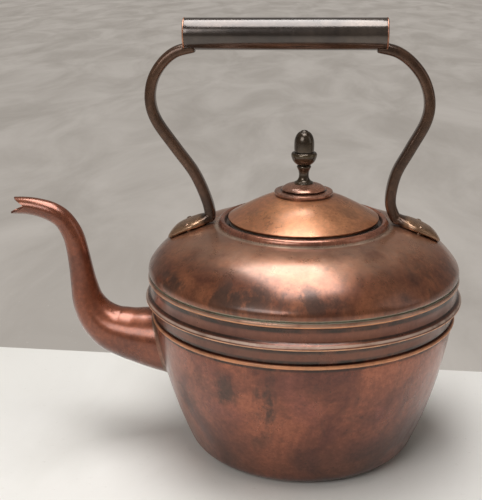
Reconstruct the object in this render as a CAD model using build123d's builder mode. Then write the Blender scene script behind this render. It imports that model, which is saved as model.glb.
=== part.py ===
from build123d import *

import math
import os

# A large copper kettle: spun bowl and shoulder joined at a beaded waist, a swan-neck spout,
# a lift-off lid with an acorn finial, and a fixed overhead handle on two riveted feet.
# Origin: on the body's axis, on the face that the kettle stands on. The spout points to -X.

# ---------------------------------------------------------------- driving dimensions, millimetres
sheet = 1.2  # copper sheet of the bowl, shoulder, band and lid
solder_gap = 0.1  # room for solder in a lapped joint
bore_gap = 0.05  # radial room of a stud or rivet in its hole

# Lower bowl: a flat base, a round heel, and one long arc up to the lap under the rim
base_inset = 38.2  # how far the base's edge lies inside the rim
heel_radius = 16.0
heel_angle = 67.0
rim_radius = 104.9
rim_height = 100.0
lap = 6.0  # straight part of the rim that the shoulder's skirt enters
rim_bead_radius = 1.4
rim_bead_out = 0.5

# Waist band: a recessed foot, then two beads with a wide flat groove between them
band_foot_rise = 11.2
band_foot_flare = 1.7
lower_bead_out = 5.9
lower_bead_height = 4.2
groove_out = 2.5
groove_height = 9.8
upper_bead_out = 3.8
upper_bead_height = 3.7
bead_edge_rise = 0.6  # slope from the wall up to the sharp edge of a bead
lower_bead_fall = 0.5  # how far each bead's face leans in above its edge
upper_bead_fall = 0.1
bead_face_share = 0.6

# Shoulder
shoulder_overhang = 3.4  # beyond the rim radius, at the widest
shoulder_tuck = 0.9  # how far the shoulder's lower edge turns back in
shoulder_tuck_rise = 2.6
shoulder_rise = 32.8  # from the waist band to the flat top
shoulder_flat_margin = 1.2  # flat left outside the collar
shoulder_turn_radius = 8.0
shoulder_turn_angle = 35.0

# Mouth
mouth_radius = 49.6
neck_depth = 7.0
seat_width = 4.2
seat_thickness = 1.0
collar_width = 5.5
collar_rise = 4.4
collar_crown_out = 0.64  # high part of the collar's curve, as shares of its width and rise
collar_crown_up = 0.95

# Lid
lid_clearance = 0.4  # flange in the mouth
lid_rest_gap = 0.3  # stop ledge above the seat
lid_rim_gap = 1.7  # lid edge inside the collar
lid_rim_rise = 4.4  # lid edge above the seat
lid_rim_depth = 1.5
lid_dome_rise = 17.8
lid_crown_radius = 76.0
lid_crown_angle = 27.0
flange_depth = 13.0  # below the seat
flange_stop_thickness = 1.2

# Boss, finial and the stud that holds them
boss_lower_radius = 20.3
boss_lower_rise = 0.7  # above the top of the lid
boss_upper_radius = 15.2
boss_upper_rise = 4.8
boss_skirt = 2.0  # how far the lower boss's edge comes down past the top of the lid
boss_edge_round = 1.2
boss_upper_shape = ((0.82, 0.68), (1.0, 0.26))  # shares of its radius and rise
turned_edge = 0.8  # narrow edges left by the lathe on the boss and finial
stem_foot_radius = 6.6
stem_waist_radius = 3.5
stem_collar_radius = 4.9
stem_height = 12.9
stem_waist_share = 0.45
stem_collar_drop = 1.4  # widest part of the stem's collar, below its top
cup_radius = 8.9
cup_height = 8.8
cup_shape = ((0.9, 0.36), (1.0, 0.72), (0.94, 0.965))  # shares of its radius and height
acorn_radius = 6.9
acorn_height = 14.1
acorn_straight_share = 0.42  # straight lower part of the acorn
acorn_shoulder = (0.87, 0.75)  # shares of its radius and height
stud_radius = 2.0
stud_head_radius = 2.7
stud_head_rise = 1.0
washer_radius = 8.0
washer_thickness = 1.0
nut_across_flats = 8.0
nut_thickness = 3.2
stud_tail = 1.2  # stud left showing under the nut

# Spout: centre line from the bowl's wall, as distance out, rise above the root, and diameter
spout_wall = 1.2
spout_root_height = 74.0
spout_flange_width = 3.0
spout_flange_proud = 0.6
spout_run = (
    (-9.0, -0.8, 50.0),
    (3.0, 0.3, 46.0),
    (13.0, 2.0, 42.0),
    (24.5, 3.4, 37.4),
    (36.5, 7.8, 33.8),
    (46.4, 16.4, 28.2),
    (52.6, 27.6, 23.0),
    (55.3, 40.5, 19.2),
    (56.9, 52.5, 17.0),
    (59.0, 66.8, 15.5),
    (61.8, 78.0, 14.8),
    (67.6, 88.0, 13.9),
    (75.2, 93.6, 13.7),
    (84.5, 96.8, 12.9),
    (94.2, 98.3, 12.3),
    (106.0, 98.4, 11.8),
)
beak_depth = 12.5  # from the end of the tube back to the point of the notch
beak_upper_angle = 35.0
beak_lower_angle = 27.0

# Handle. Each arm's centre line: share of the arm's height, and distance out from the foot
arm_thickness = 7.4
arm_width = 11.0
arm_edge_radius = 3.0
arm_shape = (
    (0.0, 3.7),
    (0.065, 2.3),
    (0.16, 2.1),
    (0.31, 7.7),
    (0.455, 18.7),
    (0.60, 29.5),
    (0.71, 32.5),
    (0.82, 29.7),
    (0.91, 22.5),
    (0.972, 12.7),
    (1.0, -0.1),
)
grip_rise = 129.4  # grip axis above the flat top of the shoulder
grip_overhang = 6.8  # each end of the grip, out from the foot's inner end
grip_radius = 10.6
grip_wall = 1.0
cap_thickness = 1.2
cap_overlap = 0.25
cap_spigot = 6.0
handle_lean = 13.6  # the whole handle leans this far towards the spout
lean_start = 0.06  # the feet stand square; the lean starts above them
lean_power = 0.55
foot_gap = 1.6  # between the collar and the foot
foot_widest_out = 18.6  # widest part, out from the foot's inner end
foot_length = 33.6
foot_width = 26.0
foot_neck_width = 12.0
foot_thickness = 3.0
rivet_out = 18.1  # out from the foot's inner end
rivet_spread = 9.0
rivet_radius = 1.4
rivet_head_radius = 2.4
rivet_head_rise = 1.4
rivet_peen_rise = 1.0
rivet_flat = 0.5  # flat left by the hammer on each head
head_crown_out = 0.7  # fullest part of a head, as shares of its radius and rise
head_crown_up = 0.75

# ---------------------------------------------------------------- places worked out from them
base_radius = rim_radius - base_inset
lap_height = rim_height - lap
band_height = band_foot_rise + lower_bead_height + groove_height + upper_bead_height
band_top = rim_height + band_height
shoulder_top = band_top + shoulder_rise
skirt_radius = rim_radius - sheet - solder_gap
widest_radius = rim_radius + shoulder_overhang
widest_height = band_top + shoulder_tuck_rise
neck_outer_radius = mouth_radius + sheet
collar_inner_radius = mouth_radius + seat_width
collar_outer_radius = collar_inner_radius + collar_width
shoulder_flat_radius = collar_outer_radius + shoulder_flat_margin
foot_inner = collar_outer_radius + foot_gap
foot_widest = foot_inner + foot_widest_out
foot_outer = foot_inner + foot_length
rivet_reach = foot_inner + rivet_out
grip_length = 2 * (foot_inner + grip_overhang)
seat_height = shoulder_top + seat_thickness
lid_radius = collar_inner_radius - lid_rim_gap
lid_edge_height = seat_height + lid_rim_rise
lid_top = lid_edge_height + lid_dome_rise
lid_rim_bottom = lid_edge_height - lid_rim_depth
flange_radius = mouth_radius - lid_clearance
boss_lower_top = lid_top + boss_lower_rise
boss_upper_top = boss_lower_top + boss_upper_rise
stem_top = boss_upper_top + stem_height
cup_top = stem_top + cup_height
acorn_top = cup_top + acorn_height
lid_underside = lid_top - sheet
washer_top = lid_underside - washer_radius**2 / (2 * lid_radius)
washer_bottom = washer_top - washer_thickness
nut_bottom = washer_bottom - nut_thickness
hole_radius = stud_radius + bore_gap
grip_height = shoulder_top + grip_rise
arm_bottom = shoulder_top - foot_thickness
arm_top = grip_height - grip_radius + arm_thickness / 4
foot_shell_height = shoulder_top + 3 * foot_thickness
head_base = foot_thickness + bore_gap
peen_base = -sheet - solder_gap
os.makedirs("parts", exist_ok=True)


def between(start, end, share):
    """The value a share of the way from start to end."""
    return start + (end - start) * share


def beside(arc, distance):
    """Start, middle and end of the arc that runs at a distance to an arc's left."""
    return [
        arc @ t + Vector(-(arc % t).Y, (arc % t).X, 0) * distance for t in (0, 0.5, 1)
    ]


def head_crown(radius, base, rise):
    """The fullest point of a hammered head's profile."""
    return (radius * head_crown_out, base + rise * head_crown_up)


def write(builder, name):
    """Label a finished piece and write its file."""
    builder.part.label = name
    export_step(builder.part, f"parts/{name}.step")


# ---------------------------------------------------------------- profiles of the turned pieces
with BuildLine() as bowl_curve:
    Line((0, 0), (base_radius, 0))
    heel = JernArc((base_radius, 0), (1, 0), heel_radius, heel_angle)
    bowl_wall = TangentArc(heel @ 1, (rim_radius, lap_height), tangent=heel % 1)
    Line((rim_radius, lap_height), (rim_radius, rim_height))

shoulder_edge = (widest_radius - shoulder_tuck, band_top)
with BuildLine() as shoulder_curve:
    TangentArc((widest_radius, widest_height), shoulder_edge, tangent=(0, -1))
    shoulder_turn = JernArc(
        (widest_radius, widest_height), (0, 1), shoulder_turn_radius, shoulder_turn_angle
    )
    shoulder_wall = TangentArc(
        shoulder_turn @ 1, (shoulder_flat_radius, shoulder_top), tangent=shoulder_turn % 1
    )
    Line((shoulder_flat_radius, shoulder_top), (neck_outer_radius, shoulder_top))

with BuildLine() as lid_curve:
    lid_crown = JernArc((0, lid_top), (1, 0), lid_crown_radius, -lid_crown_angle)
    lid_slope = TangentArc(
        lid_crown @ 1, (lid_radius, lid_edge_height), tangent=lid_crown % 1
    )

# Solids bounded by the outer faces, which the pieces that lie on them are cut to
with BuildPart() as bowl_blank:
    with BuildSketch(Plane.XZ):
        with BuildLine():
            add(bowl_curve.line)
            Polyline((rim_radius, rim_height), (0, rim_height), (0, 0))
        make_face()
    revolve(axis=Axis.Z)

with BuildPart() as shoulder_blank:
    with BuildSketch(Plane.XZ):
        with BuildLine():
            add(shoulder_curve.line)
            Polyline(
                (neck_outer_radius, shoulder_top),
                (0, shoulder_top),
                (0, band_top),
                shoulder_edge,
            )
        make_face()
    revolve(axis=Axis.Z)

with BuildPart() as lid_blank:
    with BuildSketch(Plane.XZ):
        with BuildLine():
            add(lid_curve.line)
            Polyline((lid_radius, lid_edge_height), (0, lid_edge_height), (0, lid_top))
        make_face()
    revolve(axis=Axis.Z)

# ---------------------------------------------------------------- spout tools
def outer_reach(arc, height):
    """Distance from the body's axis to a profile's arc at a height."""
    level = height - arc.arc_center.Y
    return arc.arc_center.X + math.sqrt(arc.radius**2 - level**2)


spout_root_radius = outer_reach(bowl_wall, spout_root_height)
spout_centres = [
    Vector(-spout_root_radius - out, 0, spout_root_height + up)
    for out, up, _ in spout_run
]
spout_diameters = [diameter for _, _, diameter in spout_run]


def spout_loft(growth):
    """A loft along the spout's centre line, with its radius changed by growth."""
    last = len(spout_centres) - 1
    with BuildPart() as tube:
        for i, (centre, diameter) in enumerate(zip(spout_centres, spout_diameters)):
            ahead = spout_centres[min(i + 1, last)] - spout_centres[max(i - 1, 0)]
            across = Vector(0, 1, 0)
            with BuildSketch(Plane(origin=centre, x_dir=across, z_dir=ahead)):
                Circle(diameter / 2 + growth)
        loft()
    return tube.part


spout_outer = spout_loft(0)
spout_bore = spout_loft(-spout_wall)
with BuildPart() as bowl_outset:
    with BuildSketch(Plane.XZ):
        with BuildLine():
            low = ThreePointArc(*beside(heel, -spout_flange_width))
            high = ThreePointArc(*beside(bowl_wall, -spout_flange_width))
            Polyline(
                high @ 1,
                (rim_radius + spout_flange_width, rim_height),
                (0, rim_height),
                (0, -spout_flange_width),
                low @ 0,
            )
        make_face()
    revolve(axis=Axis.Z)

# ---------------------------------------------------------------- body
with BuildPart() as lower_bowl:
    with BuildSketch(Plane.XZ):
        with BuildLine():
            add(bowl_curve.line)
            ThreePointArc(*beside(heel, sheet))
            inner_wall = ThreePointArc(*beside(bowl_wall, sheet))
            Polyline((base_radius, sheet), (0, sheet), (0, 0))
            Polyline(
                (rim_radius, rim_height), ((inner_wall @ 1).X, rim_height), inner_wall @ 1
            )
        make_face()
        with Locations((rim_radius + rim_bead_out, rim_height - rim_bead_radius)):
            Circle(rim_bead_radius)
    revolve(axis=Axis.Z)
    add(spout_bore, mode=Mode.SUBTRACT)
write(lower_bowl, "lower_bowl")

bead_foot = rim_height + band_foot_rise
groove_foot = bead_foot + lower_bead_height
groove_head = groove_foot + groove_height
lower_edge = (rim_radius + lower_bead_out, bead_foot + bead_edge_rise)
upper_edge = (rim_radius + upper_bead_out, groove_head + bead_edge_rise)
with BuildPart() as waist_band:
    with BuildSketch(Plane.XZ):
        with BuildLine():
            Polyline(
                (rim_radius, rim_height),
                (rim_radius + band_foot_flare, bead_foot - bead_edge_rise),
                lower_edge,
            )
            ThreePointArc(
                lower_edge,
                (
                    rim_radius + lower_bead_out - lower_bead_fall,
                    bead_foot + lower_bead_height * bead_face_share,
                ),
                (rim_radius + groove_out, groove_foot),
            )
            Polyline(
                (rim_radius + groove_out, groove_foot),
                (rim_radius + groove_out, groove_head),
                upper_edge,
            )
            ThreePointArc(
                upper_edge,
                (
                    rim_radius + upper_bead_out - upper_bead_fall,
                    groove_head + upper_bead_height * bead_face_share,
                ),
                (rim_radius + groove_out, band_top),
            )
            Polyline(
                (rim_radius + groove_out, band_top),
                (skirt_radius, band_top),
                (skirt_radius, rim_height),
                (rim_radius, rim_height),
            )
        make_face()
    revolve(axis=Axis.Z)
write(waist_band, "waist_band")

with BuildPart() as mouth_ring:
    with BuildSketch(Plane.XZ):
        with BuildLine():
            Polyline(
                (collar_inner_radius, shoulder_top + collar_rise),
                (collar_inner_radius, seat_height),
                (mouth_radius, seat_height),
                (mouth_radius, shoulder_top - neck_depth),
                (neck_outer_radius, shoulder_top - neck_depth),
                (neck_outer_radius, shoulder_top),
                (collar_outer_radius, shoulder_top),
            )
            ThreePointArc(
                (collar_outer_radius, shoulder_top),
                (
                    collar_inner_radius + collar_width * collar_crown_out,
                    shoulder_top + collar_rise * collar_crown_up,
                ),
                (collar_inner_radius, shoulder_top + collar_rise),
            )
        make_face()
    revolve(axis=Axis.Z)
write(mouth_ring, "mouth_ring")

# ---------------------------------------------------------------- spout
with BuildPart() as spout:
    add(spout_outer)
    add(bowl_outset.part, mode=Mode.SUBTRACT)
    add(spout_bore, mode=Mode.SUBTRACT)
    # The mouth is cut like a beak: a wedge through both sides, between a short upper lip
    # and a longer lower one
    with BuildSketch(Plane.XZ):
        with BuildLine():
            notch_x = spout_centres[-1].X + beak_depth
            notch_z = spout_centres[-1].Z
            reach = 2 * beak_depth
            Polyline(
                (notch_x, notch_z),
                (notch_x - reach, notch_z + reach * math.tan(math.radians(beak_upper_angle))),
                (notch_x - reach, notch_z - reach * math.tan(math.radians(beak_lower_angle))),
                close=True,
            )
        make_face()
    extrude(amount=spout_diameters[-1], both=True, mode=Mode.SUBTRACT)
write(spout, "spout")

with BuildPart() as spout_flange:
    add(spout_loft(spout_flange_proud))
    add(bowl_outset.part, mode=Mode.INTERSECT)
    with BuildSketch(Plane.XZ):
        with Locations((rim_radius + rim_bead_out, rim_height - rim_bead_radius)):
            Circle(rim_bead_radius + solder_gap)
    revolve(axis=Axis.Z, mode=Mode.SUBTRACT)
    add(bowl_blank.part, mode=Mode.SUBTRACT)
    add(spout_bore, mode=Mode.SUBTRACT)
write(spout_flange, "spout_flange")

# ---------------------------------------------------------------- lid
with BuildPart() as lid_dome:
    with BuildSketch(Plane.XZ):
        with BuildLine():
            add(lid_curve.line)
            inner_crown = ThreePointArc(*beside(lid_crown, -sheet))
            inner_slope = ThreePointArc(*beside(lid_slope, -sheet))
            Line(lid_crown @ 0, inner_crown @ 0)
            Line(lid_slope @ 1, inner_slope @ 1)
        make_face()
        with BuildLine():
            Polyline(
                (lid_radius, lid_edge_height),
                (lid_radius, lid_rim_bottom),
                (flange_radius - sheet, lid_rim_bottom),
                (flange_radius - sheet, lid_edge_height),
                close=True,
            )
        make_face()
    revolve(axis=Axis.Z)
    with Locations((0, 0, lid_top)):
        Hole(radius=hole_radius, depth=2 * sheet)
write(lid_dome, "lid_dome")

stop_bottom = seat_height + lid_rest_gap
with BuildPart() as lid_flange:
    with BuildSketch(Plane.XZ):
        with BuildLine():
            Polyline(
                (flange_radius - sheet, lid_rim_bottom),
                (flange_radius, lid_rim_bottom),
                (flange_radius, stop_bottom + flange_stop_thickness),
                (lid_radius, stop_bottom + flange_stop_thickness),
                (lid_radius, stop_bottom),
                (flange_radius, stop_bottom),
                (flange_radius, seat_height - flange_depth),
                (flange_radius - sheet, seat_height - flange_depth),
                close=True,
            )
        make_face()
    revolve(axis=Axis.Z)
write(lid_flange, "lid_flange")

with BuildPart() as lid_boss_lower:
    with BuildSketch(Plane.XZ):
        with BuildLine():
            Polyline(
                (boss_lower_radius - boss_edge_round, boss_lower_top),
                (hole_radius, boss_lower_top),
                (hole_radius, lid_edge_height),
                (boss_lower_radius - boss_edge_round / 2, lid_edge_height),
                (boss_lower_radius - boss_edge_round / 2, lid_top - boss_skirt),
            )
            ThreePointArc(
                (boss_lower_radius - boss_edge_round / 2, lid_top - boss_skirt),
                (boss_lower_radius, lid_top),
                (boss_lower_radius - boss_edge_round, boss_lower_top),
            )
        make_face()
    revolve(axis=Axis.Z)
    add(lid_blank.part, mode=Mode.SUBTRACT)
write(lid_boss_lower, "lid_boss_lower")

with BuildPart() as lid_boss_upper:
    with BuildSketch(Plane.XZ):
        with BuildLine():
            boss_upper_foot = (boss_upper_radius - turned_edge, boss_lower_top)
            boss_upper_flat = (stem_foot_radius + turned_edge, boss_upper_top)
            Polyline(
                boss_upper_foot,
                (hole_radius, boss_lower_top),
                (hole_radius, boss_upper_top),
                boss_upper_flat,
            )
            Spline(
                boss_upper_flat,
                *[
                    (boss_upper_radius * out, boss_lower_top + boss_upper_rise * up)
                    for out, up in boss_upper_shape
                ],
                boss_upper_foot,
            )
        make_face()
    revolve(axis=Axis.Z)
write(lid_boss_upper, "lid_boss_upper")

# Turned finial: a waisted stem, a cup and an acorn
with BuildPart() as finial_stem:
    with BuildSketch(Plane.XZ):
        with BuildLine():
            Polyline(
                (stem_collar_radius - turned_edge, stem_top),
                (hole_radius, stem_top),
                (hole_radius, boss_upper_top),
                (stem_foot_radius, boss_upper_top),
                (stem_foot_radius, boss_upper_top + turned_edge),
            )
            Spline(
                (stem_foot_radius, boss_upper_top + turned_edge),
                (stem_waist_radius, boss_upper_top + stem_height * stem_waist_share),
                (stem_collar_radius, stem_top - stem_collar_drop),
                tangents=((-1.0, 0.25), (0.35, 1.0)),
            )
            Line(
                (stem_collar_radius, stem_top - stem_collar_drop),
                (stem_collar_radius - turned_edge, stem_top),
            )
        make_face()
    revolve(axis=Axis.Z)
write(finial_stem, "finial_stem")

with BuildPart() as finial_cup:
    with BuildSketch(Plane.XZ):
        with BuildLine():
            Polyline(
                (acorn_radius, cup_top),
                (hole_radius, cup_top),
                (hole_radius, stem_top),
                (stem_collar_radius, stem_top),
            )
            Spline(
                (stem_collar_radius, stem_top),
                *[(cup_radius * out, stem_top + cup_height * up) for out, up in cup_shape],
                (acorn_radius, cup_top),
            )
        make_face()
    revolve(axis=Axis.Z)
write(finial_cup, "finial_cup")

with BuildPart() as finial_acorn:
    with BuildSketch(Plane.XZ):
        with BuildLine():
            Polyline(
                (stud_head_radius, acorn_top),
                (hole_radius, acorn_top),
                (hole_radius, cup_top),
                (acorn_radius, cup_top),
                (acorn_radius, cup_top + acorn_height * acorn_straight_share),
            )
            Spline(
                (acorn_radius, cup_top + acorn_height * acorn_straight_share),
                (
                    acorn_radius * acorn_shoulder[0],
                    cup_top + acorn_height * acorn_shoulder[1],
                ),
                (stud_head_radius, acorn_top),
                tangents=((0, 1), (-1, 0.3)),
            )
        make_face()
    revolve(axis=Axis.Z)
write(finial_acorn, "finial_acorn")

with BuildPart() as finial_stud:
    with BuildSketch(Plane.XZ):
        with BuildLine():
            Polyline(
                (stud_head_radius, acorn_top),
                (stud_radius, acorn_top),
                (stud_radius, nut_bottom - stud_tail),
                (0, nut_bottom - stud_tail),
                (0, acorn_top + stud_head_rise),
                (rivet_flat, acorn_top + stud_head_rise),
            )
            ThreePointArc(
                (rivet_flat, acorn_top + stud_head_rise),
                head_crown(stud_head_radius, acorn_top, stud_head_rise),
                (stud_head_radius, acorn_top),
            )
        make_face()
    revolve(axis=Axis.Z)
write(finial_stud, "finial_stud")

with BuildPart() as finial_washer:
    with BuildSketch(Plane.XY.offset(washer_bottom)):
        Circle(washer_radius)
        Circle(hole_radius, mode=Mode.SUBTRACT)
    extrude(amount=washer_thickness)
write(finial_washer, "finial_washer")

with BuildPart() as finial_nut:
    with BuildSketch(Plane.XY.offset(nut_bottom)):
        RegularPolygon(radius=nut_across_flats / 2, side_count=6, major_radius=False)
        Circle(hole_radius, mode=Mode.SUBTRACT)
    extrude(amount=nut_thickness)
write(finial_nut, "finial_nut")

# ---------------------------------------------------------------- handle
grip_centre = Vector(-handle_lean, 0, grip_height)
tube_length = grip_length - 2 * cap_thickness
cap_radius = grip_radius + cap_overlap
with BuildPart() as grip_blank:
    with BuildSketch(Plane(origin=grip_centre, z_dir=(1, 0, 0))):
        Circle(cap_radius)
    extrude(amount=grip_length / 2, both=True)

with BuildPart() as grip_tube:
    with BuildSketch(Plane(origin=grip_centre, z_dir=(1, 0, 0))):
        Circle(grip_radius)
        Circle(grip_radius - grip_wall, mode=Mode.SUBTRACT)
    extrude(amount=tube_length / 2, both=True)
write(grip_tube, "grip_tube")

for side, name in ((-1, "grip_cap_left"), (1, "grip_cap_right")):
    inner_face = grip_centre + Vector(side * tube_length / 2, 0, 0)
    with BuildPart() as grip_cap:
        with BuildSketch(Plane(origin=inner_face, z_dir=(side, 0, 0))):
            Circle(cap_radius)
        extrude(amount=cap_thickness)
        fillet(grip_cap.edges().group_by(Axis.X)[0 if side < 0 else -1], cap_overlap)
        with BuildSketch(Plane(origin=inner_face, z_dir=(-side, 0, 0))):
            Circle(grip_radius - grip_wall - solder_gap)
            Circle(grip_radius - 2 * grip_wall - solder_gap, mode=Mode.SUBTRACT)
        extrude(amount=cap_spigot)
    write(grip_cap, name)


def shoulder_plane(side, spread):
    """The plane that touches the top of the shoulder where a rivet goes through."""
    reach = math.hypot(rivet_reach, spread)
    level = reach - shoulder_wall.arc_center.X
    rise = math.sqrt(shoulder_wall.radius**2 - level**2)
    out = Vector(side * rivet_reach, spread, 0).normalized()
    up = Vector(0, 0, 1)
    touch = out * reach + up * (shoulder_wall.arc_center.Y + rise)
    return Plane(origin=touch, x_dir=up.cross(out), z_dir=out * level + up * rise)


def rivet_planes(side):
    """The two rivets of one foot."""
    return [shoulder_plane(side, spread) for spread in (-rivet_spread, rivet_spread)]


def lean(share):
    """How far the handle leans towards the spout at a share of the arm's height."""
    return -handle_lean * max(0.0, share - lean_start) ** lean_power


with BuildPart() as foot_blank:
    with BuildSketch(Plane.XZ):
        with BuildLine():
            add(shoulder_wall)
            foot_top = ThreePointArc(*beside(shoulder_wall, -foot_thickness))
            Line(shoulder_wall @ 0, foot_top @ 0)
            Line(shoulder_wall @ 1, foot_top @ 1)
        make_face()
    revolve(axis=Axis.Z)

for side, name in ((-1, "handle_arm_left"), (1, "handle_arm_right")):
    with BuildLine(Plane.XZ) as arm_path:
        Spline(
            *[
                (side * (foot_inner + out) + lean(share), between(arm_bottom, arm_top, share))
                for share, out in arm_shape
            ]
        )
    with BuildPart() as handle_arm:
        with BuildSketch(Plane.XY):
            with BuildLine():
                leaf = Spline(
                    (side * foot_inner, -foot_neck_width / 2),
                    (side * foot_widest, -foot_width / 2),
                    (side * foot_outer, 0),
                    (side * foot_widest, foot_width / 2),
                    (side * foot_inner, foot_neck_width / 2),
                )
                Line(leaf @ 1, leaf @ 0)
            make_face()
        extrude(amount=foot_shell_height)
        add(foot_blank.part, mode=Mode.INTERSECT)
        with BuildSketch(Plane(origin=arm_path.line @ 0, z_dir=arm_path.line % 0)):
            RectangleRounded(arm_thickness, arm_width, arm_edge_radius)
        sweep(path=arm_path.line)
        add(shoulder_blank.part, mode=Mode.SUBTRACT)
        add(grip_blank.part, mode=Mode.SUBTRACT)
        for plane in rivet_planes(side):
            with BuildSketch(plane):
                Circle(rivet_radius + bore_gap)
            extrude(amount=2 * foot_thickness, both=True, mode=Mode.SUBTRACT)
    write(handle_arm, name)

with BuildPart() as shoulder:
    with BuildSketch(Plane.XZ):
        with BuildLine():
            add(shoulder_curve.line)
            inner_turn = ThreePointArc(*beside(shoulder_turn, sheet))
            inner_shoulder = ThreePointArc(*beside(shoulder_wall, sheet))
            Polyline(
                inner_shoulder @ 1,
                (neck_outer_radius, (inner_shoulder @ 1).Y),
                (neck_outer_radius, shoulder_top),
            )
            Polyline(
                inner_turn @ 0,
                ((inner_turn @ 0).X, band_top + sheet),
                (skirt_radius - sheet, band_top + sheet),
                (skirt_radius - sheet, lap_height),
                (skirt_radius, lap_height),
                (skirt_radius, band_top),
                shoulder_edge,
            )
        make_face()
    revolve(axis=Axis.Z)
    for side in (-1, 1):
        for plane in rivet_planes(side):
            with BuildSketch(plane):
                Circle(rivet_radius + bore_gap)
            extrude(amount=2 * foot_thickness, both=True, mode=Mode.SUBTRACT)
write(shoulder, "shoulder")

for side, name in ((-1, "left"), (1, "right")):
    for number, plane in enumerate(rivet_planes(side), start=1):
        section = Plane(plane.origin, x_dir=plane.x_dir, z_dir=plane.x_dir.cross(plane.z_dir))
        with BuildPart() as rivet:
            with BuildSketch(section):
                with BuildLine():
                    Polyline(
                        (rivet_head_radius, head_base),
                        (rivet_radius, head_base),
                        (rivet_radius, peen_base),
                        (rivet_head_radius, peen_base),
                    )
                    ThreePointArc(
                        (rivet_head_radius, head_base),
                        head_crown(rivet_head_radius, head_base, rivet_head_rise),
                        (rivet_flat, head_base + rivet_head_rise),
                    )
                    ThreePointArc(
                        (rivet_head_radius, peen_base),
                        head_crown(rivet_head_radius, peen_base, -rivet_peen_rise),
                        (rivet_flat, peen_base - rivet_peen_rise),
                    )
                    Polyline(
                        (rivet_flat, peen_base - rivet_peen_rise),
                        (0, peen_base - rivet_peen_rise),
                        (0, head_base + rivet_head_rise),
                        (rivet_flat, head_base + rivet_head_rise),
                    )
                make_face()
            revolve(axis=Axis(plane.origin, plane.z_dir))
        write(rivet, f"rivet_{name}_{number}")
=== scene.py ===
"""The looks of a large copper kettle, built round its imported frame.

The frame is in metres: Z goes up the body's axis, the spout points to -X. Sizes in the classes below
are in millimetres, and MM turns them into metres where a mesh is made.
"""

from __future__ import annotations

import logging
import math
from dataclasses import dataclass
from enum import Enum
from typing import Callable, Sequence

import bmesh
import bpy
from mathutils import Matrix, Vector, noise

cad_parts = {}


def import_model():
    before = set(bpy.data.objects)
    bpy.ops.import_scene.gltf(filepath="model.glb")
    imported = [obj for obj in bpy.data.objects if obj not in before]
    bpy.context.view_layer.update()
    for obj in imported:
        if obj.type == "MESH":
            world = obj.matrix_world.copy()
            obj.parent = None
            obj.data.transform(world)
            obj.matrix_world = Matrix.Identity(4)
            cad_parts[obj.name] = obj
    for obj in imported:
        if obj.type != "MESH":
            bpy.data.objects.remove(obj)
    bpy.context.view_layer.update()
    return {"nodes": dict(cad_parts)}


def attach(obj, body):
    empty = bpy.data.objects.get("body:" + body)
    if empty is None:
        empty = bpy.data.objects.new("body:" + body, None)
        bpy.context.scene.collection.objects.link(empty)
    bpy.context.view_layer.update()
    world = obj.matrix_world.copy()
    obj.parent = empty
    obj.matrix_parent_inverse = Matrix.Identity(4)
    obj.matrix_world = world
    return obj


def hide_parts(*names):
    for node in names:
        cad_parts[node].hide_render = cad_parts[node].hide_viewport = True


LOG = logging.getLogger("kettle")
MM = 0.001

SHARP_EDGE = math.radians(42)  # a steeper fold than this shows as an edge
CORNER = math.radians(20)  # a smaller bend than this is not rounded
CORNER_POINTS = 6
TINY = 1e-6

Point = tuple[float, float]
Colour = tuple[float, float, float]
Socket = bpy.types.NodeSocket


class Body(Enum):
    """The two bodies of the frame that pieces ride on."""

    KETTLE = "kettle"
    LID = "lid"


class Slot(Enum):
    """The record's material slots."""

    BODY = "copper_body"
    MOULDINGS = "copper_mouldings"
    SPOUT = "copper_spout"
    LID = "copper_lid"
    FINIAL = "brass_finial"
    HANDLE = "bronze_handle"
    GRIP = "bronze_grip"
    CAPS = "copper_caps"
    RIVETS = "copper_rivets"


# ------------------------------------------------------------------------------ outlines


class Outline:
    """A profile drawn line by line and arc by arc, as distance from the axis and height."""

    def __init__(self, start: Point) -> None:
        """Start the outline.

        Args:
            start: The first point, in millimetres.
        """
        self.points: list[Point] = [start]
        self.heading = Vector((1.0, 0.0))

    def line(self, *ends: Point) -> Outline:
        """Go straight to each point in turn.

        Args:
            ends: The points, in millimetres.

        Returns:
            The outline itself, so that calls can follow each other.
        """
        for end in ends:
            self.heading = (Vector(end) - Vector(self.points[-1])).normalized()
            self.points.append(end)
        return self

    def turn(self, radius: float, degrees: float, steps: int = 14) -> Outline:
        """Turn through an arc that leaves along the present heading.

        Args:
            radius: The arc's radius, in millimetres.
            degrees: How far it turns, positive to the left.
            steps: The number of short lines in the arc.

        Returns:
            The outline itself.
        """
        side = 1 if degrees > 0 else -1
        across = Vector((-self.heading.y, self.heading.x)) * side
        centre = Vector(self.points[-1]) + across * radius
        for i in range(1, steps + 1):
            angle = math.radians(degrees) * i / steps
            spoke = Matrix.Rotation(angle, 2) @ (-across * radius)
            self.points.append(tuple(centre + spoke))
        self.heading = Matrix.Rotation(math.radians(degrees), 2) @ self.heading
        return self

    def curve(self, end: Point, steps: int = 40) -> Outline:
        """Go to a point on the one arc that leaves along the present heading.

        Args:
            end: Where the arc ends, in millimetres.
            steps: The number of short lines in the arc.

        Returns:
            The outline itself.
        """
        start = Vector(self.points[-1])
        chord = Vector(end) - start
        left = Vector((-self.heading.y, self.heading.x))
        rise = chord.dot(left)
        if abs(rise) < TINY:
            return self.line(end)
        radius = chord.length_squared / (2 * abs(rise))
        half = math.atan2(abs(rise), chord.dot(self.heading))
        return self.turn(radius, math.degrees(2 * half) * (1 if rise > 0 else -1), steps)


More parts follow.
